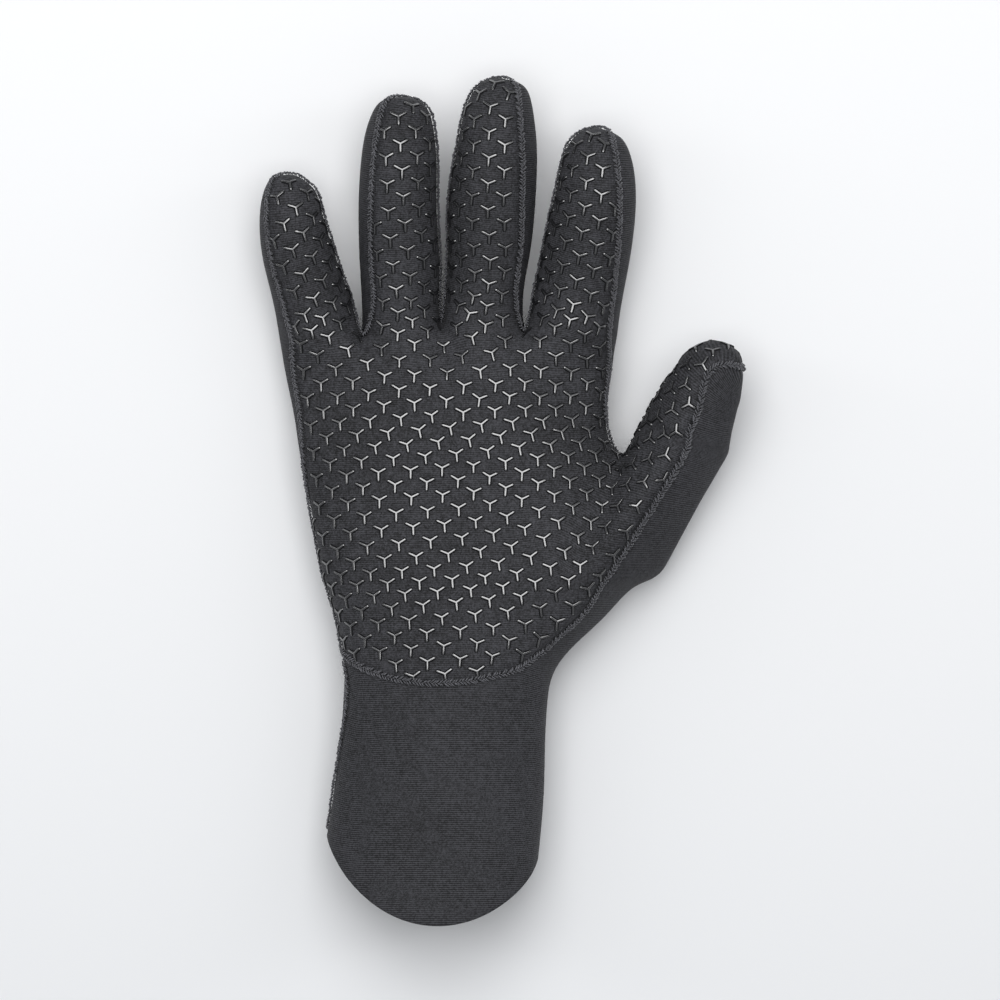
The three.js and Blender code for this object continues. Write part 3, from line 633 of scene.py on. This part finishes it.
def refine(points, quads, links):
    count = len(points)
    face = points[quads].mean(axis=1)
    edges = len(links.ends)
    ends_sum = points[links.ends].sum(axis=1)
    per_edge = gather(links.index.ravel(), np.repeat(face, 4, axis=0), edges)
    edge = np.where(links.rim[:, None], ends_sum / 2, (ends_sum + per_edge) / 4)
    n = np.maximum(links.valence[:, None].astype(float), 1)
    around = neighbours(points, links.ends, count)
    faces_sum = gather(quads.ravel(), np.repeat(face, 4, axis=0), count)
    inside = points * (n - 2) / n + around / (n * n) + faces_sum / (n * n)
    rim = points * 6 / 8 + neighbours(points, links.ends[links.rim], count) / 8
    moved = np.where(links.on_rim[:, None], rim, inside)
    finer_points = np.concatenate([moved, face, edge])
    faces = np.arange(len(quads)) + count
    edge_start = count + len(quads)
    before = np.roll(links.index, 1, axis=1)
    finer = np.empty((len(quads), 4, 4), np.int64)
    finer[:, :, 0] = quads
    finer[:, :, 1] = links.index + edge_start
    finer[:, :, 2] = faces[:, None]
    finer[:, :, 3] = before + edge_start
    return finer_points, finer.reshape(-1, 4)


def smooth_surface(points, quads, levels):
    for _ in range(levels):
        points, quads = refine(points, quads, Links(quads, len(points)))
    return limit_of(points, quads, Links(quads, len(points))), quads


def normals_of(points, quads):
    a, b, c, d = (points[quads[:, k]] for k in range(4))
    face = unit(np.cross(c - a, d - b))
    return unit(gather(quads.ravel(), np.repeat(face, 4, axis=0), len(points)))


build_cage()
cage_points = np.array(cage.points)
cage_quads = np.array(cage.quads)
cage_links = Links(cage_quads, len(cage_points))
fitted = cage_points.copy()
tied = np.array([p not in cage.loose for p in range(len(fitted))])
for _ in range(FIT_PASSES):
    miss = cage_points - limit_of(fitted, cage_quads, cage_links)
    fitted[tied] += miss[tied]

points, quads = smooth_surface(fitted, cage_quads, FINENESS)
spread = 4**FINENESS
panels = np.repeat(np.array(cage.panels), spread)
zones = np.repeat(np.array(cage.zones), spread)


# Eases the flat sheet so that it keeps the lengths and angles of the made-up shape, like
# the cut panel would. Only the free points move.
def relax_sheet(sheet, shape, quads, free):
    triangles = np.concatenate([quads[:, [0, 1, 2]], quads[:, [0, 2, 3]]])
    a, b, c = (shape[triangles[:, k]] for k in range(3))
    along = unit(b - a)
    aside = np.cross(unit(np.cross(b - a, c - a)), along)
    flat = np.zeros((len(triangles), 3, 2))
    flat[:, 1, 0] = np.linalg.norm(b - a, axis=1)
    flat[:, 2, 0] = ((c - a) * along).sum(axis=1)
    flat[:, 2, 1] = ((c - a) * aside).sum(axis=1)
    count = len(sheet)
    pull = np.zeros((count, count))
    weights = []
    for k in range(3):
        i, j, o = k, (k + 1) % 3, (k + 2) % 3
        p = flat[:, i] - flat[:, o]
        q = flat[:, j] - flat[:, o]
        area = np.abs(p[:, 0] * q[:, 1] - p[:, 1] * q[:, 0])
        weight = np.clip((p * q).sum(axis=1) / np.maximum(area, 1e-6), 0.05, 4)
        weights.append(weight)
        ti, tj = triangles[:, i], triangles[:, j]
        np.add.at(pull, (ti, ti), weight)
        np.add.at(pull, (tj, tj), weight)
        np.add.at(pull, (ti, tj), -weight)
        np.add.at(pull, (tj, ti), -weight)
    inside = np.nonzero(free)[0]
    outside = np.nonzero(~free)[0]
    inverse = np.linalg.inv(pull[np.ix_(inside, inside)])
    sheet = sheet.copy()
    for _ in range(RELAX_PASSES):
        spin = np.zeros((len(triangles), 2, 2))
        for k in range(3):
            i, j = k, (k + 1) % 3
            now = sheet[triangles[:, i]] - sheet[triangles[:, j]]
            rest = flat[:, i] - flat[:, j]
            spin += weights[k][:, None, None] * now[:, :, None] * rest[:, None, :]
        left, _, right = np.linalg.svd(spin)
        sign = np.sign(np.linalg.det(left @ right))
        left[:, :, 1] *= sign[:, None]
        turn = left @ right
        wanted = np.zeros((count, 2))
        for k in range(3):
            i, j = k, (k + 1) % 3
            rest = (turn @ (flat[:, i] - flat[:, j])[:, :, None])[:, :, 0] * weights[k][:, None]
            np.add.at(wanted, triangles[:, i], rest)
            np.add.at(wanted, triangles[:, j], -rest)
        held = pull[np.ix_(inside, outside)] @ sheet[outside]
        sheet[inside] = inverse @ (wanted[inside] - held)
    return sheet


# Places on the flat sheet for the printed panel, and knit courses for everything
in_palm = np.array(cage.panels) == "palm"
palm_cage_quads = cage_quads[in_palm]
sheet_cage = np.zeros((len(cage_points), 2))
for p, place in cage.palm_sheet.items():
    sheet_cage[p] = place


# The flat sheet, eased at the thumb side of the palm and made as fine as the surface
def flat_sheet():
    cage_palm_links = Links(palm_cage_quads, len(cage_points))
    rough_sheet, rough_quads = refine(sheet_cage, palm_cage_quads, cage_palm_links)
    rough_shape, all_quads = refine(fitted, cage_quads, cage_links)
    rough_shape = limit_of(rough_shape, all_quads, Links(all_quads, len(rough_shape)))
    shape_quads = all_quads[np.repeat(in_palm, 4)]
    rough_zones = np.repeat(np.array(cage.zones)[in_palm], 4)
    shape_of = np.zeros((len(rough_sheet), 3))
    shape_of[rough_quads.ravel()] = rough_shape[shape_quads.ravel()]
    used = np.unique(rough_quads)
    number = np.full(len(rough_sheet), -1)
    number[used] = np.arange(len(used))
    small_quads = number[rough_quads]
    free = (rough_sheet[used, 0] > RELAX_FROM[0]) & (rough_sheet[used, 1] < RELAX_FROM[1])
    free[number[np.unique(rough_quads[rough_zones > 0])]] = False
    eased = relax_sheet(rough_sheet[used], shape_of[used], small_quads, free)
    eased[:, 0] += THUMB_STRETCH * np.maximum(eased[:, 0] - THUMB_STRETCH_FROM, 0)
    rough_sheet[used] = eased
    return smooth_surface(rough_sheet, rough_quads, FINENESS - 1)


sheet, sheet_quads = flat_sheet()
course_cage = np.zeros((len(cage_points), 1))
for p, course in cage.course.items():
    course_cage[p] = course
course, _ = smooth_surface(course_cage, cage_quads, FINENESS)
course = course[:, 0]

# Dents, and the back pressed flat on the floor
normals = normals_of(points, quads)
for dent in DENTS:
    x = dent["across"] * PALM_WIDTH
    y = FORK_REACH - dent["down"] * PALM_LENGTH
    far = np.hypot(points[:, 0] - x, points[:, 1] - y) / (dent["reach"] * PALM_WIDTH)
    facing = np.maximum(normals[:, 2], 0)
    points -= normals * (dent["sink"] * WALL * facing * np.exp(-far * far))[:, None]
points[:, 2] = np.maximum(points[:, 2], 0)
normals = normals_of(points, quads)

# The seam round the printed panel as a chain of points, and the one down the cuff
links = Links(quads, len(points))
is_palm = panels == "palm"


def panel_loop():
    palm_quads = quads[is_palm]
    palm_links = Links(palm_quads, len(points))
    follow = {}
    rim_of_corner = palm_links.rim[palm_links.index]
    for f, k in zip(*np.nonzero(rim_of_corner)):
        follow[palm_quads[f, k]] = palm_quads[f, (k + 1) % 4]
    start = next(iter(follow))
    loop = [start]
    p = follow[start]
    while p != start:
        loop.append(p)
        p = follow[p]
    return np.array(loop)


# The row of points down the cuff's seam, followed through every refinement
def cuff_chain():
    chain = list(cage.cuff_line)
    chain_quads = cage_quads
    chain_count = len(cage_points)
    for _ in range(FINENESS):
        chain_links = Links(chain_quads, chain_count)
        finer = [chain[0]]
        for a, b in zip(chain, chain[1:]):
            low, high = min(a, b), max(a, b)
            e = np.nonzero((chain_links.ends[:, 0] == low) & (chain_links.ends[:, 1] == high))[0][0]
            finer += [chain_count + len(chain_quads) + e, b]
        dummy = np.zeros((chain_count, 1))
        more, chain_quads = refine(dummy, chain_quads, chain_links)
        chain_count = len(more)
        chain = finer
    return np.array(chain)


loop = panel_loop()
chain = cuff_chain()

# The sheet dips towards the stitching
seam_tree = KDTree(len(loop) + len(chain))
for i, p in enumerate(np.concatenate([loop, chain])):
    seam_tree.insert(Vector(points[p]), i)
seam_tree.balance()
seam_far = np.array([seam_tree.find(Vector(point))[2] for point in points])
raw_points = points.copy()
points = points - normals * (GROOVE_DEPTH * np.exp(-((seam_far / GROOVE_REACH) ** 2)))[:, None]
points[:, 2] = np.maximum(points[:, 2], 0)


def new_piece(name, vertices, faces, materials, face_materials=None, attributes=None):
    mesh = bpy.data.meshes.new(name)
    mesh.from_pydata([tuple(v) for v in np.asarray(vertices) * MM], [], [tuple(f) for f in faces])
    mesh.polygons.foreach_set("use_smooth", [True] * len(mesh.polygons))
    for material in materials:
        mesh.materials.append(material)
    if face_materials is not None:
        mesh.polygons.foreach_set("material_index", list(face_materials))
    for attribute, values in (attributes or {}).items():
        layer = mesh.attributes.new(attribute, "FLOAT", "POINT")
        layer.data.foreach_set("value", np.asarray(values, float))
    mesh.update()
    piece = bpy.data.objects.new(name, mesh)
    bpy.context.scene.collection.objects.link(piece)
    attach(piece, "root")
    return piece


# Materials


def new_material(name):
    material = bpy.data.materials.new(name)
    material.use_nodes = True
    tree = material.node_tree
    tree.nodes.clear()
    output = tree.nodes.new("ShaderNodeOutputMaterial")
    shader = tree.nodes.new("ShaderNodeBsdfPrincipled")
    tree.links.new(shader.outputs["BSDF"], output.inputs["Surface"])
    return material, tree, shader


def node(tree, kind, **values):
    made = tree.nodes.new(kind)
    for name, value in values.items():
        made.inputs[name].default_value = value
    return made


def math_node(tree, operation, a, b=None):
    made = tree.nodes.new("ShaderNodeMath")
    made.operation = operation
    for slot, value in enumerate((a, b)):
        if value is None:
            continue
        if isinstance(value, (int, float)):
            made.inputs[slot].default_value = value
        else:
            tree.links.new(value, made.inputs[slot])
    return made.outputs[0]


def ramp(tree, source, stops):
    made = tree.nodes.new("ShaderNodeValToRGB")
    tree.links.new(source, made.inputs["Fac"])
    elements = made.color_ramp.elements
    while len(elements) > len(stops):
        elements.remove(elements[-1])
    while len(elements) < len(stops):
        elements.new(1.0)
    for element, (position, colour) in zip(elements, stops):
        element.position = position
        element.color = (*colour, 1.0)
    return made.outputs["Color"]


# A grey with a little blue in it
def grey(value):
    return (value, value * 1.01, value * 1.15)


# Knit-faced neoprene: fine ribs along the knit courses, a speckle of loose fibres, and
# slow changes of tone
def neoprene(name, dark, light, rib_tone, rib_strength, sheen):
    material, tree, shader = new_material(name)
    place = tree.nodes.new("ShaderNodeTexCoord").outputs["Object"]
    courses = tree.nodes.new("ShaderNodeAttribute")
    courses.attribute_name = "course"
    speckle = node(tree, "ShaderNodeTexNoise", Scale=1500.0, Detail=2.0, Roughness=0.7)
    tree.links.new(place, speckle.inputs["Vector"])
    mottle = node(tree, "ShaderNodeTexNoise", Scale=420.0, Detail=3.0, Roughness=0.6)
    tree.links.new(place, mottle.inputs["Vector"])
    slow = node(tree, "ShaderNodeTexNoise", Scale=26.0, Detail=2.0, Roughness=0.5)
    tree.links.new(place, slow.inputs["Vector"])
    wobble = math_node(tree, "MULTIPLY", mottle.outputs["Fac"], 0.22)
    phase = math_node(tree, "ADD", courses.outputs["Fac"], wobble)
    turns = math_node(tree, "MULTIPLY", phase, 2 * math.pi / RIB_PITCH)
    rib = math_node(tree, "SINE", turns)
    tone = math_node(tree, "MULTIPLY", speckle.outputs["Fac"], 0.6)
    tone = math_node(tree, "ADD", tone, math_node(tree, "MULTIPLY", mottle.outputs["Fac"], 0.25))
    tone = math_node(tree, "ADD", tone, math_node(tree, "MULTIPLY", slow.outputs["Fac"], 0.15))
    tone = math_node(tree, "ADD", tone, math_node(tree, "MULTIPLY", rib, rib_tone))
    middle = tuple(mix(d, l, 0.42) for d, l in zip(dark, light))
    colour = ramp(tree, tone, [(0.36, dark), (0.5, middle), (0.63, light)])
    tree.links.new(colour, shader.inputs["Base Color"])
    shader.inputs["Roughness"].default_value = 0.78
    shader.inputs["Specular IOR Level"].default_value = 0.35
    shader.inputs["Sheen Weight"].default_value = sheen
    shader.inputs["Sheen Roughness"].default_value = 0.45
    relief = math_node(tree, "MULTIPLY", rib, rib_strength)
    height = math_node(tree, "ADD", relief, speckle.outputs["Fac"])
    bump = node(tree, "ShaderNodeBump", Strength=0.35, Distance=0.0001)
    tree.links.new(height, bump.inputs["Height"])
    tree.links.new(bump.outputs["Normal"], shader.inputs["Normal"])
    return material


printed_knit = neoprene("printed_neoprene_knit", grey(0.004), grey(0.058), 0.06, 0.9, 0.02)
plain_knit = neoprene("plain_neoprene_knit", grey(0.005), grey(0.055), 0.12, 1.3, 0.0)

foam, foam_tree, foam_shader = new_material("neoprene_foam")
foam_noise = node(foam_tree, "ShaderNodeTexNoise", Scale=1800.0, Detail=3.0, Roughness=0.6)
foam_tone = ramp(foam_tree, foam_noise.outputs["Fac"], [(0.35, grey(0.008)), (0.7, grey(0.022))])
foam_tree.links.new(foam_tone, foam_shader.inputs["Base Color"])
foam_shader.inputs["Roughness"].default_value = 0.9
foam_bump = node(foam_tree, "ShaderNodeBump", Strength=0.5, Distance=0.0001)
foam_tree.links.new(foam_noise.outputs["Fac"], foam_bump.inputs["Height"])
foam_tree.links.new(foam_bump.outputs["Normal"], foam_shader.inputs["Normal"])

rubber, rubber_tree, rubber_shader = new_material("grip_print_rubber")
rubber_noise = node(rubber_tree, "ShaderNodeTexNoise", Scale=900.0, Detail=2.0, Roughness=0.6)
rubber_tone = ramp(rubber_tree, rubber_noise.outputs["Fac"], [(0.3, grey(0.008)), (0.7, grey(0.018))])
rubber_tree.links.new(rubber_tone, rubber_shader.inputs["Base Color"])
rubber_shader.inputs["Roughness"].default_value = 0.24
rubber_shader.inputs["IOR"].default_value = 2.4

# The steep flanks of the marks, in a darker matt copy of the rubber: painted shade along the sides of the
# strokes
rubber_flank_shade, _, rubber_flank_shade_shader = new_material("grip_print_flank_painted_shade")
rubber_flank_shade_shader.inputs["Base Color"].default_value = (*grey(0.008), 1)
rubber_flank_shade_shader.inputs["Roughness"].default_value = 0.6
rubber_flank_shade_shader.inputs["Specular IOR Level"].default_value = 0.1

# Seam thread: a dark mottle of its own, whose palest flecks, far paler than the thread, are painted
# highlight standing in for glints on the fibres
thread, thread_tree, thread_shader = new_material("seam_thread_fibre_and_painted_glints")
thread_noise = node(thread_tree, "ShaderNodeTexNoise", Scale=3200.0, Detail=2.0, Roughness=0.6)
thread_stops_with_glints = [(0.38, grey(0.004)), (0.52, grey(0.03)), (0.64, grey(0.3))]
thread_tone_with_glints = ramp(thread_tree, thread_noise.outputs["Fac"], thread_stops_with_glints)
thread_tree.links.new(thread_tone_with_glints, thread_shader.inputs["Base Color"])
thread_shader.inputs["Roughness"].default_value = 0.5
thread_shader.inputs["Sheen Weight"].default_value = 0.2
thread_bump = node(thread_tree, "ShaderNodeBump", Strength=0.5, Distance=0.0001)
thread_tree.links.new(thread_noise.outputs["Fac"], thread_bump.inputs["Height"])
thread_tree.links.new(thread_bump.outputs["Normal"], thread_shader.inputs["Normal"])


# Rounding of the hem's edge, from the outer face to the inner one
HEM_ROUND = table("depth out", (0.12, 0.3), (0.7, 0.5), (2.3, 0.5), (2.85, 0.3))


# One panel of sheet: outer face, inner face, and cut edges. The hem's edge is rounded.
def panel_piece(name, chosen, knit):
    panel_quads = quads[chosen]
    panel_links = Links(panel_quads, len(points))
    used = np.unique(panel_quads)
    number = np.full(len(points), -1)
    number[used] = np.arange(len(used))
    outer = points[used]
    inner = raw_points[used] - normals[used] * WALL
    vertices = [*outer, *inner]
    outer_faces = number[panel_quads]
    faces = [tuple(f) for f in outer_faces]
    faces += [tuple(f[::-1] + len(used)) for f in outer_faces]
    materials = [0] * len(faces)
    courses = [*course[used], *course[used]]
    hem_vertices = {}
    rim_of_corner = panel_links.rim[panel_links.index]
    for f, k in zip(*np.nonzero(rim_of_corner)):
        a = panel_quads[f, k]
        b = panel_quads[f, (k + 1) % 4]
        on_hem = links.rim[links.index[chosen][f, k]]
        na, nb = number[a], number[b]
        if not on_hem:
            faces.append((nb, na, na + len(used), nb + len(used)))
            materials.append(1)
            continue
        for p in (a, b):
            if p not in hem_vertices:
                downward = unit(np.cross(normals[p], np.cross((0, -1, 0), normals[p])))
                hem_vertices[p] = len(vertices)
                for line in HEM_ROUND:
                    inward = normals[p] * line["depth"]
                    vertices.append(raw_points[p] - inward + downward * line["out"])
                    courses.append(course[p] - 0.3)
        ha, hb = hem_vertices[a], hem_vertices[b]
        chain_a = [na, ha, ha + 1, ha + 2, ha + 3, na + len(used)]
        chain_b = [nb, hb, hb + 1, hb + 2, hb + 3, nb + len(used)]
        for step in range(5):
            faces.append((chain_b[step], chain_a[step], chain_a[step + 1], chain_b[step + 1]))
            materials.append(1 if step in (1, 2, 3) else 0)
    return new_piece(name, vertices, faces, [knit, foam], materials, {"course": courses})


palm_piece = panel_piece("palm_panel_fabric", is_palm, printed_knit)
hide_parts("palm_panel")
back_piece = panel_piece("back_panel_fabric", ~is_palm, plain_knit)
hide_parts("back_panel", "finger_backs")


# Evenly spaced places along a chain of points, with the directions there
def along_chain(chain_points, chain_normals, closed, pitch):
    pts = np.asarray(chain_points)
    nrm = np.asarray(chain_normals)
    if closed:
        pts = np.concatenate([pts, pts[:1]])
        nrm = np.concatenate([nrm, nrm[:1]])
    for _ in range(2):
        smooth = pts.copy()
        smooth[1:-1] = (pts[:-2] + 2 * pts[1:-1] + pts[2:]) / 4
        pts = smooth
    lengths = np.concatenate([[0], np.cumsum(np.linalg.norm(np.diff(pts, axis=0), axis=1))])
    count = int(lengths[-1] / pitch)
    wanted = (np.arange(count) + 0.5) * lengths[-1] / count
    place = np.stack([np.interp(wanted, lengths, pts[:, i]) for i in range(3)], axis=1)
    normal = unit(np.stack([np.interp(wanted, lengths, nrm[:, i]) for i in range(3)], axis=1))
    ahead = np.stack([np.interp(wanted + 0.4, lengths, pts[:, i]) for i in range(3)], axis=1)
    behind = np.stack([np.interp(wanted - 0.4, lengths, pts[:, i]) for i in range(3)], axis=1)
    along = unit(ahead - behind)
    normal = unit(normal - along * (normal * along).sum(axis=1)[:, None])
    across = np.cross(along, normal)
    return place, normal, along, across


# A short thread with a round section and closed ends
def thread_tube(vertices, faces, path, radii, sides=6):
    path = np.asarray(path)
    first = len(vertices)
    for i, point in enumerate(path):
        ahead = path[min(i + 1, len(path) - 1)]
        behind = path[max(i - 1, 0)]
        along = unit(ahead - behind)
        helper = np.array([0.31, 0.52, 0.8])
        side = unit(np.cross(along, helper))
        up = np.cross(side, along)
        for k in range(sides):
            turn = 2 * math.pi * k / sides
            vertices.append(point + (side * math.cos(turn) + up * math.sin(turn)) * radii[i])
    for i in range(len(path) - 1):
        for k in range(sides):
            n = (k + 1) % sides
            a = first + i * sides
            b = a + sides
            faces.append((a + k, a + n, b + n, b + k))
    faces.append(tuple(first + k for k in range(sides))[::-1])
    last = first + (len(path) - 1) * sides
    faces.append(tuple(last + k for k in range(sides)))


# The way of one stitch from the seam's middle to its edge
STITCH_PATH = table(
    "along across height radius",
    (-0.6, 0.02, 0.0, 0.6),
    (-0.3, 0.2, 0.42, 0.95),
    (0.05, 0.5, 0.56, 1.0),
    (0.4, 0.8, 0.42, 0.95),
    (0.7, 1.0, -0.05, 0.65),
)


# Two rows of short slanted threads along a seam
def stitches(name, chain_points, chain_normals, closed):
    vertices = []
    faces = []
    rows = along_chain(chain_points, chain_normals, closed, STITCH_PITCH)
    for i, (place, normal, along, across) in enumerate(zip(*rows)):
        for side in (-1, 1):
            shift = 0.5 * STITCH_PITCH if side > 0 else 0
            size = 1 + 0.14 * rng.standard_normal()
            skew = 0.3 * rng.standard_normal()
            lift = 0.1 * rng.standard_normal()
            thick = 1 + 0.14 * rng.standard_normal()
            path = []
            for knot in STITCH_PATH:
                reach = side * knot["across"] * STITCH_REACH * size
                forward = knot["along"] + shift + skew * knot["across"]
                height = knot["height"] + lift + 0.05
                path.append(place + across * reach + along * forward + normal * height)
            radii = [knot["radius"] * STITCH_RADIUS * thick for knot in STITCH_PATH]
            thread_tube(vertices, faces, path, radii)
    return new_piece(name, vertices, faces, [thread])


seam_piece = stitches("panel_seam_stitches", raw_points[loop], normals[loop], True)
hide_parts("panel_seam")
cuff_piece = stitches("cuff_seam_stitches", raw_points[chain][2:-1], normals[chain][2:-1], False)
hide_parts("cuff_seam")


# A part of the printed panel, with the way from its flat sheet to the surface
class Zone:
    def __init__(self, zone):
        chosen = is_palm & (zones == zone)
        self.quads = quads[chosen]
        self.sheet_quads = sheet_quads[(zones == zone)[is_palm]]
        flat = [(x, y, 0.0) for x, y in sheet]
        triangles = []
        for q in self.sheet_quads:
            triangles += [(q[0], q[1], q[2]), (q[0], q[2], q[3])]
        self.tree = BVHTree.FromPolygons(flat, triangles)
        self.triangles = triangles
        self.corners = []
        for q in self.quads:
            self.corners += [(q[0], q[1], q[2]), (q[0], q[2], q[3])]
        used = sheet[np.unique(self.sheet_quads)]
        self.low = used.min(axis=0)
        self.high = used.max(axis=0)

    def find(self, place):
        hit = self.tree.ray_cast(Vector((place[0], place[1], 10.0)), Vector((0, 0, -1)))
        if hit[0] is None:
            return None
        t = hit[2]
        a, b, c = (sheet[p] for p in self.triangles[t])
        basis = np.array([b - a, c - a]).T
        u, v = np.linalg.solve(basis, np.array(place) - a)
        p, q, r = (points[n] for n in self.corners[t])
        inverse = np.linalg.inv(basis)
        tangents = np.stack([q - p, r - p], axis=1) @ inverse
        return p + (q - p) * u + (r - p) * v, tangents


palm_triangles = []
for q in quads[is_palm]:
    palm_triangles += [(q[0], q[1], q[2]), (q[0], q[2], q[3])]
palm_tree = BVHTree.FromPolygons([tuple(v) for v in points], palm_triangles)


def surface_at(point):
    place, _, t, _ = palm_tree.find_nearest(Vector(point))
    place = np.array(place)
    corners = palm_triangles[t]
    weights = 1 / (np.linalg.norm(points[list(corners)] - place, axis=1) + 1e-6)
    normal = unit((normals[list(corners)] * weights[:, None]).sum(axis=0))
    return place, normal


# Section and length of a stroke of a grip mark, and the section's steep flanks, whose faces take the
# darker matt rubber as painted shade
STROKE_LINES = table(
    "across height",
    (-0.5, -0.1),
    (-0.33, 0.5),
    (-0.22, 0.88),
    (-0.13, 0.97),
    (0.0, 1.0),
    (0.13, 0.97),
    (0.22, 0.88),
    (0.33, 0.5),
    (0.5, -0.1),
)
PAINTED_SHADE_FLANKS = (0, 1, 6, 7)
STROKE_STATIONS = table(
    "along wide high",
    (0, 1, 1),
    (0.4, 1, 1),
    (0.8, 0.96, 1),
    (0.94, 0.8, 0.86),
    (1.0, 0.3, -0.1),
)


def grip_mark(vertices, faces, slots, place, right, upward, size):
    for stroke in STROKES:
        turn = math.radians(stroke["turn"])
        along = right * math.cos(turn) + upward * math.sin(turn)
        across = right * -math.sin(turn) + upward * math.cos(turn)
        first = len(vertices)
        for station in STROKE_STATIONS:
            reach = station["along"] * stroke["length"] * size
            foot, normal = surface_at(place + along * reach)
            for line in STROKE_LINES:
                aside = line["across"] * STROKE_WIDTH * station["wide"]
                height = line["height"] * STROKE_HEIGHT * station["high"]
                vertices.append(foot + across * aside + normal * height)
        lines = len(STROKE_LINES)
        for i in range(len(STROKE_STATIONS) - 1):
            for k in range(lines - 1):
                a = first + i * lines + k
                faces.append((a + lines, a + lines + 1, a + 1, a))
                # Flank faces get the darker matt rubber, painted shade along the strokes' sides
                slots.append(1 if k in PAINTED_SHADE_FLANKS else 0)


# Grip marks, laid out on the flat sheet and carried to the surface
def grip_marks():
    vertices = []
    faces = []
    slots = []
    total = 0
    step_a, step_b = (np.array(step) for step in LATTICE_STEPS)
    for zone_number in range(5):
        zone = Zone(zone_number)
        for i in range(-LATTICE_REACH, LATTICE_REACH + 1):
            for j in range(-LATTICE_REACH, LATTICE_REACH + 1):
                place = np.array(LATTICE_ORIGIN) + step_a * i + step_b * j
                if (place < zone.low).any() or (place > zone.high).any():
                    continue
                found = zone.find(place)
                if found is None:
                    continue
                point, tangents = found
                _, normal = surface_at(point)
                upward = tangents[:, 1]
                upward = unit(upward - normal * upward.dot(normal))
                right = np.cross(upward, normal)
                if seam_tree.find(Vector(point))[2] < MARK_CLEARANCE:
                    continue
                size = 1 + 0.03 * rng.standard_normal()
                grip_mark(vertices, faces, slots, point, right, upward, size)
                total += 1
    print("grip marks", total)
    return new_piece("grip_marks", vertices, faces, [rubber, rubber_flank_shade], slots)


marks_piece = grip_marks()

# Floor: pale, a little darker towards the bottom of the picture
floor_mesh = bpy.data.meshes.new("floor")
floor_mesh.from_pydata([(-3, -3, 0), (3, -3, 0), (3, 3, 0), (-3, 3, 0)], [], [(0, 1, 2, 3)])
floor_material, floor_tree, floor_shader = new_material("pale_floor")
floor_place = floor_tree.nodes.new("ShaderNodeTexCoord").outputs["Object"]
floor_split = floor_tree.nodes.new("ShaderNodeSeparateXYZ")
floor_tree.links.new(floor_place, floor_split.inputs["Vector"])
floor_share = math_node(floor_tree, "MULTIPLY", floor_split.outputs["Y"], 3.0)
floor_share = math_node(floor_tree, "ADD", floor_share, 0.5)
floor_stops = [(0.0, (0.84, 0.85, 0.865)), (1.0, (0.935, 0.94, 0.95))]
floor_tone = ramp(floor_tree, floor_share, floor_stops)
floor_tree.links.new(floor_tone, floor_shader.inputs["Base Color"])
floor_shader.inputs["Roughness"].default_value = 0.9
floor_mesh.materials.append(floor_material)
floor = bpy.data.objects.new("floor", floor_mesh)
bpy.context.scene.collection.objects.link(floor)


# Light and camera
def area_light(name, place, target, size, size_y, power):
    light = bpy.data.lights.new(name, "AREA")
    light.shape = "RECTANGLE"
    light.size = size
    light.size_y = size_y
    light.energy = power
    holder = bpy.data.objects.new(name, light)
    holder.location = place
    aim = Vector(target) - Vector(place)
    holder.rotation_euler = aim.to_track_quat("-Z", "Y").to_euler()
    bpy.context.scene.collection.objects.link(holder)


area_light("key", (-0.04, 0.36, 1.5), (0, 0.0, 0.02), 1.1, 1.4, 19.2)
area_light("left", (-1.25, 0.3, 1.15), (0, 0.0, 0.02), 0.3, 1.6, 3.0)
area_light("right", (1.25, 0.3, 1.15), (0, 0.0, 0.02), 0.3, 1.6, 3.0)

world = bpy.data.worlds.new("studio")
world.use_nodes = True
background = world.node_tree.nodes["Background"]
background.inputs["Color"].default_value = (0.95, 0.97, 1.0, 1.0)
background.inputs["Strength"].default_value = 0.28
bpy.context.scene.world = world
bpy.context.scene.view_settings.view_transform = "Standard"

# One pixel of the picture on the glove, and the camera's sensor
PIXEL = 0.3325 * MM
PICTURE_WIDTH = 1000
SENSOR = 36.0
CAMERA_DISTANCE = 3.2
camera_data = bpy.data.cameras.new("camera")
camera_data.sensor_width = SENSOR
camera_data.lens = SENSOR * CAMERA_DISTANCE / (PICTURE_WIDTH * PIXEL)
camera_data.clip_end = 10.0
camera = bpy.data.objects.new("camera", camera_data)
camera.location = (16.6 * MM, 0.0, CAMERA_DISTANCE + 0.02)
bpy.context.scene.collection.objects.link(camera)
bpy.context.scene.camera = camera

for piece in (palm_piece, back_piece, seam_piece, cuff_piece, marks_piece):
    piece.data.calc_loop_triangles()
    print(piece.name, len(piece.data.loop_triangles), "triangles")
